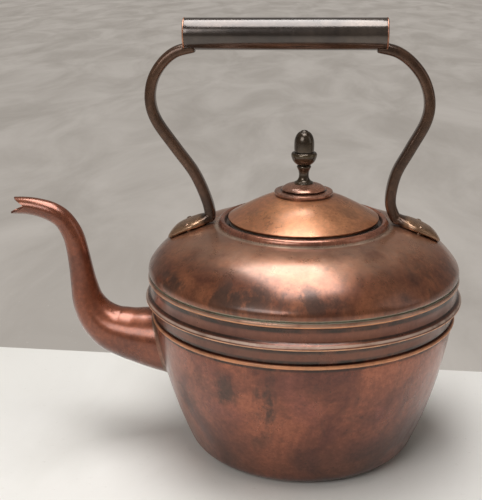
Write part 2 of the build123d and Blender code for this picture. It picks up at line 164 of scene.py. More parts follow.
def beside(points: Sequence[Point], distance: float) -> list[Point]:
    """A line that runs beside another.

    Args:
        points: The line.
        distance: How far to its left, in millimetres.

    Returns:
        The points of the line beside it.
    """
    found = []
    for i, point in enumerate(points):
        ahead = Vector(points[min(i + 1, len(points) - 1)]) - Vector(points[max(i - 1, 0)])
        ahead.normalize()
        found.append((point[0] - ahead.y * distance, point[1] + ahead.x * distance))
    return found


def soften(points: Sequence[Point], radius: float, closed: bool) -> list[Point]:
    """Round the corners of a line.

    Args:
        points: The line.
        radius: The largest radius of a rounded corner, in millimetres.
        closed: Whether the last point joins the first.

    Returns:
        The points of the rounded line.
    """
    found: list[Point] = []
    count = len(points)
    for i in range(count):
        here = Vector(points[i])
        if not closed and i in (0, count - 1):
            found.append(tuple(here))
            continue
        back = Vector(points[i - 1]) - here
        ahead = Vector(points[(i + 1) % count]) - here
        if min(back.length, ahead.length) < TINY:
            continue
        bend = math.pi - back.angle(ahead)
        if bend < CORNER:
            found.append(tuple(here))
            continue
        cut = min(radius * math.tan(bend / 2), back.length * 0.45, ahead.length * 0.45)
        start, end = here + back.normalized() * cut, here + ahead.normalized() * cut
        for k in range(CORNER_POINTS):
            t = k / (CORNER_POINTS - 1)
            mid = start * (1 - t) ** 2 + here * (2 * t * (1 - t)) + end * t * t
            found.append(tuple(mid))
    return found


def refine(points: Sequence[Point], longest: float, closed: bool) -> list[Point]:
    """Divide the long runs of a line, so that dents have vertices to move.

    Args:
        points: The line.
        longest: The longest run that stays whole, in millimetres.
        closed: Whether the last point joins the first.

    Returns:
        The points of the divided line.
    """
    found: list[Point] = []
    pairs = list(zip(points, points[1:]))
    if closed:
        pairs.append((points[-1], points[0]))
    for start, end in pairs:
        parts = max(1, math.ceil(math.dist(start, end) / longest))
        for i in range(parts):
            t = i / parts
            found.append((start[0] + (end[0] - start[0]) * t, start[1] + (end[1] - start[1]) * t))
    if not closed:
        found.append(points[-1])
    return found


def smooth_run(keys: Sequence[Sequence[float]], steps: int) -> list[list[float]]:
    """A smooth line through rows of numbers.

    Args:
        keys: The rows, such as points or sizes along a piece.
        steps: How many rows to make between one key and the next.

    Returns:
        The rows of the smooth line, with every key among them.
    """
    count = len(keys)
    found: list[list[float]] = []
    for i in range(count - 1):
        a, b = keys[i], keys[i + 1]
        before = keys[i - 1] if i else [2 * p - q for p, q in zip(a, b)]
        after = keys[i + 2] if i + 2 < count else [2 * q - p for p, q in zip(a, b)]
        for k in range(steps):
            t = k / steps
            found.append([
                0.5 * (2 * p1 + (p2 - p0) * t + (2 * p0 - 5 * p1 + 4 * p2 - p3) * t * t
                       + (3 * p1 - p0 - 3 * p2 + p3) * t**3)
                for p0, p1, p2, p3 in zip(before, a, b, after)
            ])
    found.append(list(keys[-1]))
    return found


# ------------------------------------------------------------------------------ meshes


def mesh_piece(
    name: str, points: Sequence[Sequence[float]], faces: Sequence[Sequence[int]]
) -> bpy.types.Object:
    """Make one smooth mesh piece.

    Args:
        name: The piece's name.
        points: Its vertices, in millimetres.
        faces: Its faces, as vertex numbers.

    Returns:
        The new object, in the scene.
    """
    mesh = bpy.data.meshes.new(name)
    mesh.from_pydata([[c * MM for c in p] for p in points], [], faces)
    work = bmesh.new()
    work.from_mesh(mesh)
    bmesh.ops.remove_doubles(work, verts=work.verts, dist=TINY)
    bmesh.ops.recalc_face_normals(work, faces=work.faces)
    for edge in work.edges:
        edge.smooth = len(edge.link_faces) < 2 or edge.calc_face_angle(0.0) < SHARP_EDGE
    for face in work.faces:
        face.smooth = True
    work.to_mesh(mesh)
    work.free()
    piece = bpy.data.objects.new(name, mesh)
    bpy.context.scene.collection.objects.link(piece)
    return piece


def lathe(
    name: str,
    outline: Sequence[Point],
    closed: bool,
    segments: int = 224,
    dent: Callable[[float, float, float], float] | None = None,
) -> bpy.types.Object:
    """Turn an outline round the Z axis.

    Args:
        name: The piece's name.
        outline: The outline, as distance from the axis and height, in millimetres.
        closed: Whether the outline is a loop; if not, both its ends are on the axis.
        segments: The number of steps round the axis.
        dent: How far the wall stands out at an angle, distance and height, in millimetres.

    Returns:
        The new object.
    """
    points, rings = [], []
    for reach, height in outline:
        if reach < TINY:
            rings.append([len(points)] * segments)
            points.append((0.0, 0.0, height))
            continue
        ring = []
        for k in range(segments):
            angle = 2 * math.pi * k / segments
            out = reach + (dent(angle, reach, height) if dent else 0.0)
            ring.append(len(points))
            points.append((out * math.cos(angle), out * math.sin(angle), height))
        rings.append(ring)
    faces = []
    pairs = list(zip(rings, rings[1:])) + ([(rings[-1], rings[0])] if closed else [])
    for low, high in pairs:
        for k in range(segments):
            n = (k + 1) % segments
            corner = list(dict.fromkeys((low[k], low[n], high[n], high[k])))
            if len(corner) > 2:
                faces.append(corner)
    return mesh_piece(name, points, faces)


def skin(
    name: str, loops: Sequence[Sequence[Vector]], ends: bool = True
) -> bpy.types.Object:
    """Stretch a skin over loops of points that follow each other.

    Args:
        name: The piece's name.
        loops: Closed loops with the same number of points, in millimetres.
        ends: Whether the first and last loops are filled in; if not, they are joined to each other.

    Returns:
        The new object.
    """
    size = len(loops[0])
    points = [p for loop in loops for p in loop]
    faces = []
    last = len(loops) if not ends else len(loops) - 1
    for i in range(last):
        n = (i + 1) % len(loops)
        for k in range(size):
            m = (k + 1) % size
            faces.append((i * size + k, i * size + m, n * size + m, n * size + k))
    if ends:
        faces.append(list(range(size)))
        faces.append([(len(loops) - 1) * size + k for k in range(size)])
    return mesh_piece(name, points, faces)


def settle(piece: bpy.types.Object) -> None:
    """Apply a piece's modifiers.

    Args:
        piece: The object, whose mesh is replaced by the finished one.
    """
    bpy.context.view_layer.update()
    graph = bpy.context.evaluated_depsgraph_get()
    done = bpy.data.meshes.new_from_object(piece.evaluated_get(graph))
    piece.modifiers.clear()
    piece.data = done
    for face in piece.data.polygons:
        face.use_smooth = True


def hand_dent(
    size: float, depth: float, low: float, high: float, fade: float, seed: float
) -> Callable[[float, float, float], float]:
    """Shallow dents of a sheet that was worked and worn by hand.

    Args:
        size: The width of a dent, in millimetres.
        depth: The depth of a dent, in millimetres.
        low: The height that the dents start above, in millimetres.
        high: The height that they end below.
        fade: The height over which they die away at both ends, in millimetres.
        seed: A number that picks the pattern.

    Returns:
        A function of angle, distance from the axis and height, for lathe().
    """

    def dent(angle: float, reach: float, height: float) -> float:
        share = max(0.0, min(1.0, (height - low) / fade, (high - height) / fade))
        place = Vector((reach * math.cos(angle), reach * math.sin(angle), height)) / size
        return noise.noise(place + Vector((seed, seed * 0.7, 0))) * depth * share * share * (3 - 2 * share)

    return dent


# ------------------------------------------------------------------------------ finishes


WAX_ROUGHNESS = 0.2


class Shade:
    """A material being wired up, with short calls for the nodes that the finishes need."""

    def __init__(self, name: str) -> None:
        """Start a material.

        Args:
            name: The material's name.
        """
        self.material = bpy.data.materials.new(name)
        self.material.use_nodes = True
        self.tree = self.material.node_tree
        self.shader = self.tree.nodes["Principled BSDF"]
        self.place = self.add("ShaderNodeTexCoord").outputs["Object"]
        split = self.add("ShaderNodeSeparateXYZ")
        self.join(self.place, split.inputs[0])
        self.x, self.y, self.height = split.outputs[0], split.outputs[1], split.outputs[2]
        flat = self.add("ShaderNodeVectorMath", operation="MULTIPLY")
        flat.inputs[1].default_value = (1, 1, 0)
        self.join(self.place, flat.inputs[0])
        length = self.add("ShaderNodeVectorMath", operation="LENGTH")
        self.join(flat.outputs[0], length.inputs[0])
        self.reach = length.outputs["Value"]

    def add(self, kind: str, **settings: object) -> bpy.types.Node:
        """A new node.

        Args:
            kind: The node's type.
            settings: Its properties.

        Returns:
            The node.
        """
        node = self.tree.nodes.new(kind)
        for key, value in settings.items():
            setattr(node, key, value)
        return node

    def join(self, source: Socket, target: Socket) -> None:
        """Link an output to an input."""
        self.tree.links.new(source, target)

    def feed(self, target: Socket, value: Socket | float | Colour) -> None:
        """Link a socket to an input, or set the input to a number or colour."""
        if isinstance(value, bpy.types.NodeSocket):
            self.join(value, target)
        elif isinstance(value, tuple):
            target.default_value = (*value, 1.0)
        else:
            target.default_value = value

    def sum(self, kind: str, a: Socket | float, b: Socket | float = 0.0, clamp: bool = False) -> Socket:
        """One step of arithmetic.

        Args:
            kind: The operation's name.
            a: The first value.
            b: The second value.
            clamp: Whether the result stays from 0 to 1.

        Returns:
            The result.
        """
        node = self.add("ShaderNodeMath", operation=kind, use_clamp=clamp)
        self.feed(node.inputs[0], a)
        self.feed(node.inputs[1], b)
        return node.outputs[0]

    def noise(
        self,
        per_metre: float,
        detail: float = 4.0,
        rough: float = 0.55,
        stretch: Colour = (1, 1, 1),
        warp: float = 0.0,
        shift: Colour = (0, 0, 0),
        round_axis: bool = False,
    ) -> Socket:
        """A cloud pattern.

        Args:
            per_metre: The number of clouds in a metre.
            detail: The number of finer layers.
            rough: How strong the finer layers are.
            stretch: How much finer the pattern is along each axis.
            warp: How far the pattern is bent out of shape.
            shift: A shift of the pattern, in clouds.
            round_axis: Whether the pattern runs in rings round the body's axis.

        Returns:
            The pattern, about 0.5 on average.
        """
        source = self.place
        if round_axis:
            ring = self.add("ShaderNodeCombineXYZ")
            self.join(self.reach, ring.inputs[0])
            self.join(self.height, ring.inputs[2])
            source = ring.outputs[0]
        scaled = self.add("ShaderNodeVectorMath", operation="MULTIPLY_ADD")
        self.join(source, scaled.inputs[0])
        scaled.inputs[1].default_value = [per_metre * s for s in stretch]
        scaled.inputs[2].default_value = shift
        node = self.add("ShaderNodeTexNoise")
        self.join(scaled.outputs[0], node.inputs["Vector"])
        node.inputs["Scale"].default_value = 1.0
        node.inputs["Detail"].default_value = detail
        node.inputs["Roughness"].default_value = rough
        node.inputs["Distortion"].default_value = warp
        return node.outputs[0]

    def fade(self, value: Socket, low: float, high: float, bottom: float = 0.0, top: float = 1.0) -> Socket:
        """A soft step.

        Args:
            value: What decides.
            low: Where the step starts.
            high: Where it ends; it may be below low, for a step down.
            bottom: The result at low.
            top: The result at high.

        Returns:
            The result.
        """
        node = self.add("ShaderNodeMapRange", interpolation_type="SMOOTHSTEP")
        self.join(value, node.inputs[0])
        for k, number in enumerate((low, high, bottom, top), start=1):
            node.inputs[k].default_value = number
        return node.outputs[0]

    def mix(self, share: Socket | float, a: Socket | Colour, b: Socket | Colour, kind: str = "MIX") -> Socket:
        """A blend of two colours.

        Args:
            share: How much of the second there is.
            a: The first colour.
            b: The second colour.
            kind: The way they blend.

        Returns:
            The blend.
        """
        node = self.add("ShaderNodeMix", data_type="RGBA", blend_type=kind)
        self.feed(node.inputs[0], share)
        self.feed(node.inputs[6], a)
        self.feed(node.inputs[7], b)
        return node.outputs[2]

    def ring(self, reach: float, height: float, near: float, far: float) -> Socket:
        """A line round the axis, solid near it and gone further off.

        Args:
            reach: The line's distance from the axis, in millimetres.
            height: Its height, in millimetres.
            near: How far it is solid, in millimetres.
            far: How far it reaches, in millimetres.

        Returns:
            1 on the line, 0 away from it.
        """
        here = self.add("ShaderNodeCombineXYZ")
        self.join(self.reach, here.inputs[0])
        self.join(self.height, here.inputs[2])
        gap = self.add("ShaderNodeVectorMath", operation="DISTANCE")
        self.join(here.outputs[0], gap.inputs[0])
        gap.inputs[1].default_value = (reach * MM, 0, height * MM)
        return self.fade(gap.outputs["Value"], far * MM, near * MM)

    def spot(self, place: Colour, size: Colour, soft: float = 0.6) -> Socket:
        """A soft blob at one place.

        Args:
            place: Its centre, in millimetres.
            size: Its half lengths along the axes, in millimetres.
            soft: The share of the blob that fades.

        Returns:
            1 in the middle, 0 outside.
        """
        node = self.add("ShaderNodeVectorMath", operation="SUBTRACT")
        self.join(self.place, node.inputs[0])
        node.inputs[1].default_value = [c * MM for c in place]
        scaled = self.add("ShaderNodeVectorMath", operation="DIVIDE")
        self.join(node.outputs[0], scaled.inputs[0])
        scaled.inputs[1].default_value = [c * MM for c in size]
        gap = self.add("ShaderNodeVectorMath", operation="LENGTH")
        self.join(scaled.outputs[0], gap.inputs[0])
        return self.fade(gap.outputs["Value"], 1.0, 1.0 - soft)

    def bump(self, height: Socket, depth: float, under: Socket | None = None) -> Socket:
        """Relief that catches the light.

        Args:
            height: The relief.
            depth: Its depth, in millimetres.
            under: The relief that it lies on.

        Returns:
            The normal.
        """
        node = self.add("ShaderNodeBump")
        node.inputs["Strength"].default_value = 1.0
        node.inputs["Distance"].default_value = depth * MM
        self.join(height, node.inputs["Height"])
        if under:
            self.join(under, node.inputs["Normal"])
        return node.outputs[0]

    def finish(
        self, colour: Socket, rough: Socket, normal: Socket, metallic: float, coat: float = 0.0
    ) -> bpy.types.Material:
        """Wire the result to the shader.

        Args:
            colour: The base colour.
            rough: The roughness.
            normal: The normal.
            metallic: How metallic the surface is.
            coat: How strong the clear film of wax over it is.

        Returns:
            The material.
        """
        self.join(colour, self.shader.inputs["Base Color"])
        self.join(rough, self.shader.inputs["Roughness"])
        self.join(normal, self.shader.inputs["Normal"])
        self.shader.inputs["Metallic"].default_value = metallic
        self.shader.inputs["Coat Weight"].default_value = coat
        self.shader.inputs["Coat Roughness"].default_value = WAX_ROUGHNESS
        return self.material


@dataclass(frozen=True)
class Spot:
    """A darker patch at one place, patina on most parts and painted shade under the spout; its centre and
    half lengths are in millimetres.
    """

    place: Colour
    size: Colour
    amount: float = 1.0


@dataclass(frozen=True)
class Line:
    """A line round the body's axis, with its colour, its place and width in millimetres."""

    reach: float
    height: float
    near: float
    far: float
    colour: Colour
    amount: float = 1.0


@dataclass(frozen=True)
class AgedMetal:
    """Old copper or bronze: bare metal under clouds, patches, streaks and specks of patina, with painted
    shade in hollows, under parts and towards the base, and painted highlights along edges.
    """

    name: str
    metal: Colour
    brown: Colour
    dark: Colour
    blush: Colour = (0.30, 0.115, 0.055)
    cloud_low: float = 0.38
    cloud_high: float = 0.66
    patches: float = 0.5
    streaks: float = 0.5
    shine: float = 0.24
    rings: float = 0.35
    metallic: float = 0.64
    coat: float = 0.6
    spots: tuple[Spot, ...] = ()
    lines: tuple[Line, ...] = ()
    # Painted shade towards the base: the height where it is full and the height where it ends, in
    # millimetres.
    base_shade: tuple[float, float] | None = None
    seed: float = 0.0

    def material(self) -> bpy.types.Material:
        """The finish as a material.

        Returns:
            The new material.
        """
        s = Shade(self.name)
        shift = (self.seed, self.seed * 1.7, -self.seed)
        clouds = s.noise(17, 5, 0.6, shift=shift, warp=0.5)
        tone = s.fade(clouds, self.cloud_low, self.cloud_high)
        colour = s.mix(tone, self.metal, self.brown)
        hue = s.fade(s.noise(24, 3, 0.5, shift=(4 + self.seed, 2, 9)), 0.5, 0.72, 0.0, 0.55)
        colour = s.mix(hue, colour, self.blush)
        grit = s.noise(160, 6, 0.7, warp=0.6, shift=shift)
        patch = s.noise(46, 7, 0.68, warp=0.9, shift=(7, self.seed, 3))
        patchy = s.fade(patch, 0.55, 0.68, 0.0, self.patches)
        streak = s.noise(80, 6, 0.65, stretch=(1, 1, 0.2), warp=0.25, shift=shift)
        streaky = s.fade(streak, 0.55, 0.72, 0.0, self.streaks)
        grime_and_shade = s.sum("MAXIMUM", patchy, streaky)
        # Darker spots: patina, and painted shade where a spot sits under a part.
        for spot in self.spots:
            blob = s.spot(spot.place, spot.size, 0.8)
            ragged = s.sum("ADD", s.sum("MULTIPLY", streak, 0.7), s.sum("MULTIPLY", grit, 0.3))
            edge = s.sum("ADD", ragged, s.sum("MULTIPLY", blob, 0.18))
            eaten = s.fade(edge, 0.56, 0.7)
            grime_and_shade = s.sum("MAXIMUM", grime_and_shade, s.sum("MULTIPLY", s.sum("MULTIPLY", eaten, blob), spot.amount))
        # Painted shade: darker towards the base, mottled by the clouds.
        if self.base_shade:
            low = s.fade(s.height, self.base_shade[1] * MM, self.base_shade[0] * MM)
            mixed = s.sum("MULTIPLY", low, s.fade(clouds, 0.2, 0.7, 0.45, 1.0))
            grime_and_shade = s.sum("MAXIMUM", grime_and_shade, s.sum("MULTIPLY", mixed, 0.8))
        colour = s.mix(s.sum("MULTIPLY", grime_and_shade, 0.92, True), colour, self.dark)
        specks = s.fade(s.noise(620, 2, 0.5), 0.66, 0.74, 0.0, 0.55)
        colour = s.mix(specks, colour, self.dark)
        fine = s.fade(s.noise(330, 4, 0.7, shift=(2, 5, self.seed)), 0.3, 0.8, 0.78, 1.22)
        colour = s.mix(1.0, colour, self.grey(s, fine), "MULTIPLY")
        dull = s.sum("MULTIPLY", grime_and_shade, 0.2)
        # Lines round the axis: patina and residue in crevices, painted shade in grooves, gaps and under
        # edges, painted highlights on edges and ledges.
        for line in self.lines:
            wobble = s.fade(s.noise(70, 4, 0.7, shift=(line.height, 1, line.reach)), 0.25, 0.6, 0.35, 1.0)
            mask = s.sum("MULTIPLY", s.ring(line.reach, line.height, line.near, line.far), wobble)
            colour = s.mix(s.sum("MULTIPLY", mask, line.amount, True), colour, line.colour)
            if sum(line.colour) / 3 > 0.45:
                dull = s.sum("MAXIMUM", dull, s.sum("MULTIPLY", mask, 0.4))
        smear = s.fade(s.noise(60, 5, 0.7, stretch=(1, 1, 0.5), shift=(1, 8, 2)), 0.3, 0.75, -0.05, 0.12)
        rough = s.sum("ADD", s.sum("ADD", smear, self.shine), dull, True)
        turned = s.noise(900, 2, 0.6, round_axis=True)
        worked = s.noise(55, 2, 0.4, shift=(5, 1, self.seed))
        normal = s.bump(worked, 0.14)
        normal = s.bump(turned, 0.006 * self.rings / 0.35, normal)
        normal = s.bump(grit, 0.014, normal)
        normal = s.bump(grime_and_shade, 0.012, normal)
        return s.finish(colour, rough, normal, self.metallic, self.coat)

    @staticmethod
    def grey(s: Shade, value: Socket) -> Socket:
        """A value as a grey colour."""
        node = s.add("ShaderNodeCombineColor")
        for k in range(3):
            s.join(value, node.inputs[k])
        return node.outputs[0]


@dataclass(frozen=True)
class Plain:
    """A pale, mottled surface for what the kettle stands on and in front of.

    With a glow, it is lit evenly from within and takes only a weak shadow.
    """

    name: str
    light: Colour
    shade: Colour
    fleck: Colour
    scale: float
    folds: float
    glow: float = 0.0

    def material(self) -> bpy.types.Material:
        """The finish as a material.

        Returns:
            The new material.
        """
        s = Shade(self.name)
        wide = s.fade(s.noise(self.scale, 5, 0.6, warp=0.6, stretch=(1, 0.35, 1)), 0.25, 0.75)
        colour = s.mix(wide, self.light, self.shade)
        fleck = s.fade(s.noise(self.scale * 30, 4, 0.7), 0.62, 0.74, 0.0, 0.5)
        colour = s.mix(fleck, colour, self.fleck)
        normal = s.bump(s.noise(self.scale, 3, 0.5, warp=1.0), self.folds)
        normal = s.bump(s.noise(1400, 2, 0.5), 0.1, normal)
        rough = s.fade(wide, 0, 1, 0.6, 0.8)
        if self.glow:
            s.join(colour, s.shader.inputs["Emission Color"])
            s.shader.inputs["Emission Strength"].default_value = self.glow
            colour = s.mix(GLOW_DIMS, colour, BLACK)
        return s.finish(colour, rough, normal, 0.0)


BLACK: Colour = (0.0, 0.0, 0.0)
GLOW_DIMS = 0.75  # share of its own colour that a glowing surface gives up
VERDIGRIS: Colour = (0.34, 0.36, 0.27)
RESIDUE: Colour = (0.50, 0.42, 0.33)
# Near black laid in grooves, gaps and creases, under edges and at joints: painted shade.
PAINTED_SHADE: Colour = (0.022, 0.016, 0.011)
# The black under the lid's edge, inside the collar: painted shadow.
PAINTED_GAP_SHADOW: Colour = (0.006, 0.004, 0.003)


# ------------------------------------------------------------------------------ sub-assemblies


@dataclass
class SubAssembly:
    """Pieces that ride on one body."""

    body: Body = Body.KETTLE

    def place(
        self, piece: bpy.types.Object, stands_for: Sequence[str], slot: Slot, *materials: bpy.types.Material
    ) -> bpy.types.Object:
        """Put a finished piece on its body.

        Args:
            piece: The piece.
            stands_for: The nodes of the frame that it replaces.
            slot: The record's material slot; not used.
            materials: Its materials.

        Returns:
            The piece.
        """
        piece.data.materials.clear()
        for material in materials:
            piece.data.materials.append(material)
        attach(piece, self.body.value)
        if stands_for:
            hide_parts(*stands_for)
        LOG.info("%s: %d faces", piece.name, len(piece.data.polygons))
        return piece


@dataclass
class Vessel(SubAssembly):
    """The bowl, the beaded waist, the shoulder and the collar round the mouth."""

    sheet: float = 1.2
    base_radius: float = 66.7
    heel_radius: float = 16.0
    heel_angle: float = 67.0
    rim_radius: float = 104.9
    rim_height: float = 100.0
    lap: float = 6.0
    bead_foot: float = 111.2
    lower_bead_out: float = 5.9
    groove_foot: float = 115.4
    groove_out: float = 2.5
    groove_head: float = 125.2
    upper_bead_out: float = 3.8
    band_top: float = 128.9
    widest: float = 108.3
    tuck: float = 0.9
    tuck_rise: float = 2.6
    shoulder_top: float = 161.7
    flat_radius: float = 60.5
    turn_radius: float = 8.0
    turn_angle: float = 35.0
    mouth_radius: float = 49.6
    seat_width: float = 4.2
    collar_width: float = 5.5
    collar_rise: float = 4.4
    neck_depth: float = 7.0

    def bowl_outline(self) -> list[Point]:
        """The outer face of the bowl, from the axis to the lap under the rim."""
        line = Outline((0, 0)).line((self.base_radius, 0)).turn(self.heel_radius, self.heel_angle)
        line.curve((self.rim_radius, self.rim_height - self.lap))
        return line.points

    def shoulder_outline(self) -> list[Point]:
        """The outer face of the shoulder, from its lower edge to the mouth."""
        edge = (self.widest - self.tuck, self.band_top)
        tuck = Outline((self.widest, self.band_top + self.tuck_rise))
        tuck.heading = Vector((0, -1))
        tuck.curve(edge, 6)
        rise = Outline((self.widest, self.band_top + self.tuck_rise))
        rise.heading = Vector((0, 1))
        rise.turn(self.turn_radius, self.turn_angle).curve((self.flat_radius, self.shoulder_top))
        return tuck.points[:0:-1] + rise.points

    def wall_radius(self, height: float) -> float:
        """The bowl's outer radius at a height, in millimetres."""
        points = self.bowl_outline()
        for (r0, z0), (r1, z1) in zip(points, points[1:]):
            if z0 <= height <= z1 and z1 > z0:
                return r0 + (r1 - r0) * (height - z0) / (z1 - z0)
        return points[-1][0]

    def shoulder_height(self, reach: float) -> float:
        """The height of the top of the shoulder at a distance from the axis, in millimetres."""
        points = self.shoulder_outline()[::-1]
        if reach <= points[0][0]:
            return self.shoulder_top
        for (r0, z0), (r1, z1) in zip(points, points[1:]):
            if r0 <= reach <= r1 and r1 > r0:
                return z0 + (z1 - z0) * (reach - r0) / (r1 - r0)
        return self.band_top

    def build_bowl(self) -> bpy.types.Object:
        """The bowl, with its rolled rim."""
        outer = self.bowl_outline()
        rim = [(self.rim_radius, self.rim_height - 2.9)]
        centre = (self.rim_radius + 0.5, self.rim_height - 1.4)
        for k in range(13):
            angle = math.radians(-80 + 14 * k)
            rim.append((centre[0] + 1.4 * math.cos(angle), centre[1] + 1.4 * math.sin(angle)))
        inner = beside(outer, self.sheet)[::-1]
        inner[-1] = (0.0, self.sheet)
        outline = outer + rim + [(self.rim_radius - self.sheet, self.rim_height)] + inner
        dent = hand_dent(52, 0.4, 4, 92, 18, 3.1)
        return lathe("bowl", refine(outline, 2.6, False), False, dent=dent)

    def build_waist(self) -> bpy.types.Object:
        """The drawn band with two beads."""
        out, low = self.rim_radius, self.bead_foot
        line = [
            (out - 1.3, self.rim_height),
            (out, self.rim_height + 0.1),
            (out + 0.5, self.rim_height + 2),
            (out + 0.9, low - 4),
            (out + 1.5, low - 1.2),
            (out + 3.4, low - 0.2),
            (out + self.lower_bead_out, low + 0.5),
            (out + self.lower_bead_out - 0.2, low + 1.6),
            (out + self.lower_bead_out - 1.2, low + 3.0),
            (out + self.groove_out + 0.9, self.groove_foot - 0.3),
            (out + self.groove_out, self.groove_foot + 0.6),
            (out + self.groove_out - 0.3, self.groove_foot + 3.5),
            (out + self.groove_out, self.groove_head - 0.6),
            (out + self.upper_bead_out, self.groove_head + 0.6),
            (out + self.upper_bead_out - 0.1, self.groove_head + 2.2),
            (out + self.upper_bead_out - 0.9, self.band_top - 0.4),
            (out + self.groove_out - 0.6, self.band_top),
            (out - 1.3, self.band_top),
        ]
        dent = hand_dent(38, 0.25, 101, 128, 5, 8.4)
        return lathe("waist_band_drawn", refine(soften(line, 0.5, True), 1.6, True), True, dent=dent)

    def build_shoulder(self) -> bpy.types.Object:
        """The shoulder, with the skirt that enters the bowl."""
        outer = self.shoulder_outline()
        inside = beside(outer, self.sheet)[::-1]
        skirt = self.rim_radius - self.sheet - 0.1
        line = outer + [(self.mouth_radius + self.sheet, self.shoulder_top)]
        line += [(self.mouth_radius + self.sheet, self.shoulder_top - self.sheet)]
        line += [p for p in inside if p[1] > self.band_top + 2 * self.sheet]
        line += [
            (skirt - self.sheet, self.band_top + self.sheet),
            (skirt - self.sheet, self.rim_height - self.lap),
            (skirt, self.rim_height - self.lap),
            (skirt, self.band_top),
        ]
        dent = hand_dent(50, 0.45, 130, 163, 12, 5.7)
        return lathe("shoulder_spun", refine(line, 2.6, True), True, dent=dent)

    def build_collar(self) -> bpy.types.Object:
        """The half-round collar, the lid's seat and the neck."""
        inner, top = self.mouth_radius + self.seat_width, self.shoulder_top
        bead = []
        for k in range(15):
            angle = math.pi * k / 14
            across = 0.5 + 0.5 * math.cos(angle)
            rise = self.collar_rise * math.sin(angle) ** 0.75
            bead.append((inner + self.collar_width * across, top + rise))
        line = bead[:-1] + [
            (inner, top + 1.2),
            (inner - 0.3, top + 1.0),
            (self.mouth_radius + 0.4, top + 1.0),
            (self.mouth_radius, top + 0.5),
            (self.mouth_radius, top - self.neck_depth),
            (self.mouth_radius + self.sheet, top - self.neck_depth),
            (self.mouth_radius + self.sheet, top),
        ]
        return lathe("mouth_collar", refine(line, 1.8, True), True)

    def dress(self) -> None:
        """Build the four pieces and give each its finish."""
        copper = AgedMetal(
            name="bowl_copper", metal=(0.35, 0.11, 0.056),
            brown=(0.13, 0.038, 0.023), dark=(0.045, 0.029, 0.021),
            # Painted shade darkens the bowl towards its base.
            blush=(0.28, 0.088, 0.062), patches=0.35, streaks=0.35, base_shade=(2, 52), shine=0.30,
            spots=(
                Spot((-24, -96, 66), (17, 40, 32), 0.9),
                Spot((-50, -82, 74), (20, 40, 24), 0.85),
                Spot((-26, -80, 40), (18, 40, 24), 0.55),
                Spot((30, -80, 12), (40, 40, 16), 0.6),
                Spot((60, 60, 60), (30, 40, 30), 0.6),
                Spot((-40, 85, 50), (30, 40, 30), 0.6),
            ),
            lines=(
                # A bright line on the rolled rim, worn bare copper and painted highlight; painted shade under
                # the rim.
                Line(106.6, 98.6, 1.0, 1.7, (0.80, 0.38, 0.19), 0.9),
                Line(104.8, 96.4, 0.6, 1.8, PAINTED_SHADE, 0.9),
            ),
        )
        crown = AgedMetal(
            name="shoulder_copper", metal=(0.33, 0.115, 0.052),
            brown=(0.11, 0.033, 0.018), dark=(0.028, 0.016, 0.011),
            patches=0.5, streaks=0.55, shine=0.30, coat=0.75, seed=3.0,
            spots=(
                Spot((-40, -95, 140), (52, 40, 17), 0.9),
                Spot((5, -105, 140), (42, 40, 13), 0.8),
                Spot((-85, -60, 138), (30, 40, 11), 0.8),
                Spot((75, -70, 148), (26, 36, 10), 0.5),
                Spot((80, 60, 138), (40, 40, 12), 0.8),
                Spot((-20, 100, 140), (40, 40, 12), 0.8),
            ),
            lines=(
                Line(107.4, 129.2, 0.5, 1.5, VERDIGRIS, 0.8),
                Line(60.6, 161.8, 0.5, 2.6, RESIDUE, 0.7),
                # A broad lighter band over the top of the shoulder: painted reflection of the light from
                # above.
                Line(74.0, 159.0, 6.0, 30.0, (0.50, 0.29, 0.19), 0.45),
            ),
        )
        band = AgedMetal(
            # The band's copper is darker than the bowl's, in part painted shade of its recessed faces.
            name="waist_copper", metal=(0.22, 0.07, 0.036),
            brown=(0.11, 0.034, 0.02), dark=(0.03, 0.018, 0.013),
            patches=0.4, streaks=0.2, shine=0.30, seed=6.0,
            lines=(
                Line(107.5, 128.9, 0.4, 1.3, VERDIGRIS, 0.8),
                # The upper bead's lit top and bright edge: painted highlight, the edge also worn bare.
                Line(108.7, 127.0, 0.6, 1.6, (0.62, 0.36, 0.24), 0.6),
                Line(108.7, 125.8, 0.35, 0.9, (0.85, 0.42, 0.22), 0.9),
                # Under the upper bead, down the groove and above the lower bead: painted shade.
                Line(107.2, 123.4, 0.8, 2.4, PAINTED_SHADE, 0.95),
                Line(107.1, 119.0, 1.5, 4.0, (0.20, 0.075, 0.045), 0.6),
                Line(107.9, 115.5, 0.4, 1.2, PAINTED_SHADE, 0.8),
                # The lower bead's lit top and bright edge: painted highlight, the edge also worn bare.
                Line(109.9, 113.7, 0.3, 1.3, (0.66, 0.50, 0.40), 0.75),
                Line(110.8, 111.8, 0.35, 0.9, (0.90, 0.50, 0.30), 0.95),
                # Under the lower bead, down the band and in the gap above the rim: painted shade.
                Line(106.4, 109.4, 1.4, 3.0, PAINTED_SHADE, 0.97),
                Line(105.6, 105.0, 2.0, 4.5, (0.16, 0.07, 0.045), 0.7),
                Line(104.9, 100.6, 1.4, 3.2, PAINTED_SHADE, 0.97),
            ),
        )
        collar = AgedMetal(
            name="collar_copper", metal=(0.40, 0.155, 0.09),
            brown=(0.22, 0.08, 0.05), dark=(0.05, 0.03, 0.02),
            patches=0.4, streaks=0.1, shine=0.25, seed=9.0,
            lines=(
                Line(59.4, 161.8, 0.4, 1.3, RESIDUE, 0.8),
                # Painted shadow in the gap under the lid's edge.
                Line(52.8, 163.6, 1.6, 3.0, PAINTED_GAP_SHADOW, 1.0),
            ),
        )
        self.place(self.build_bowl(), ["lower_bowl"], Slot.BODY, copper.material())
        self.place(self.build_waist(), ["waist_band"], Slot.MOULDINGS, band.material())
        self.place(self.build_shoulder(), ["shoulder"], Slot.BODY, crown.material())
        self.place(self.build_collar(), ["mouth_ring"], Slot.MOULDINGS, collar.material())


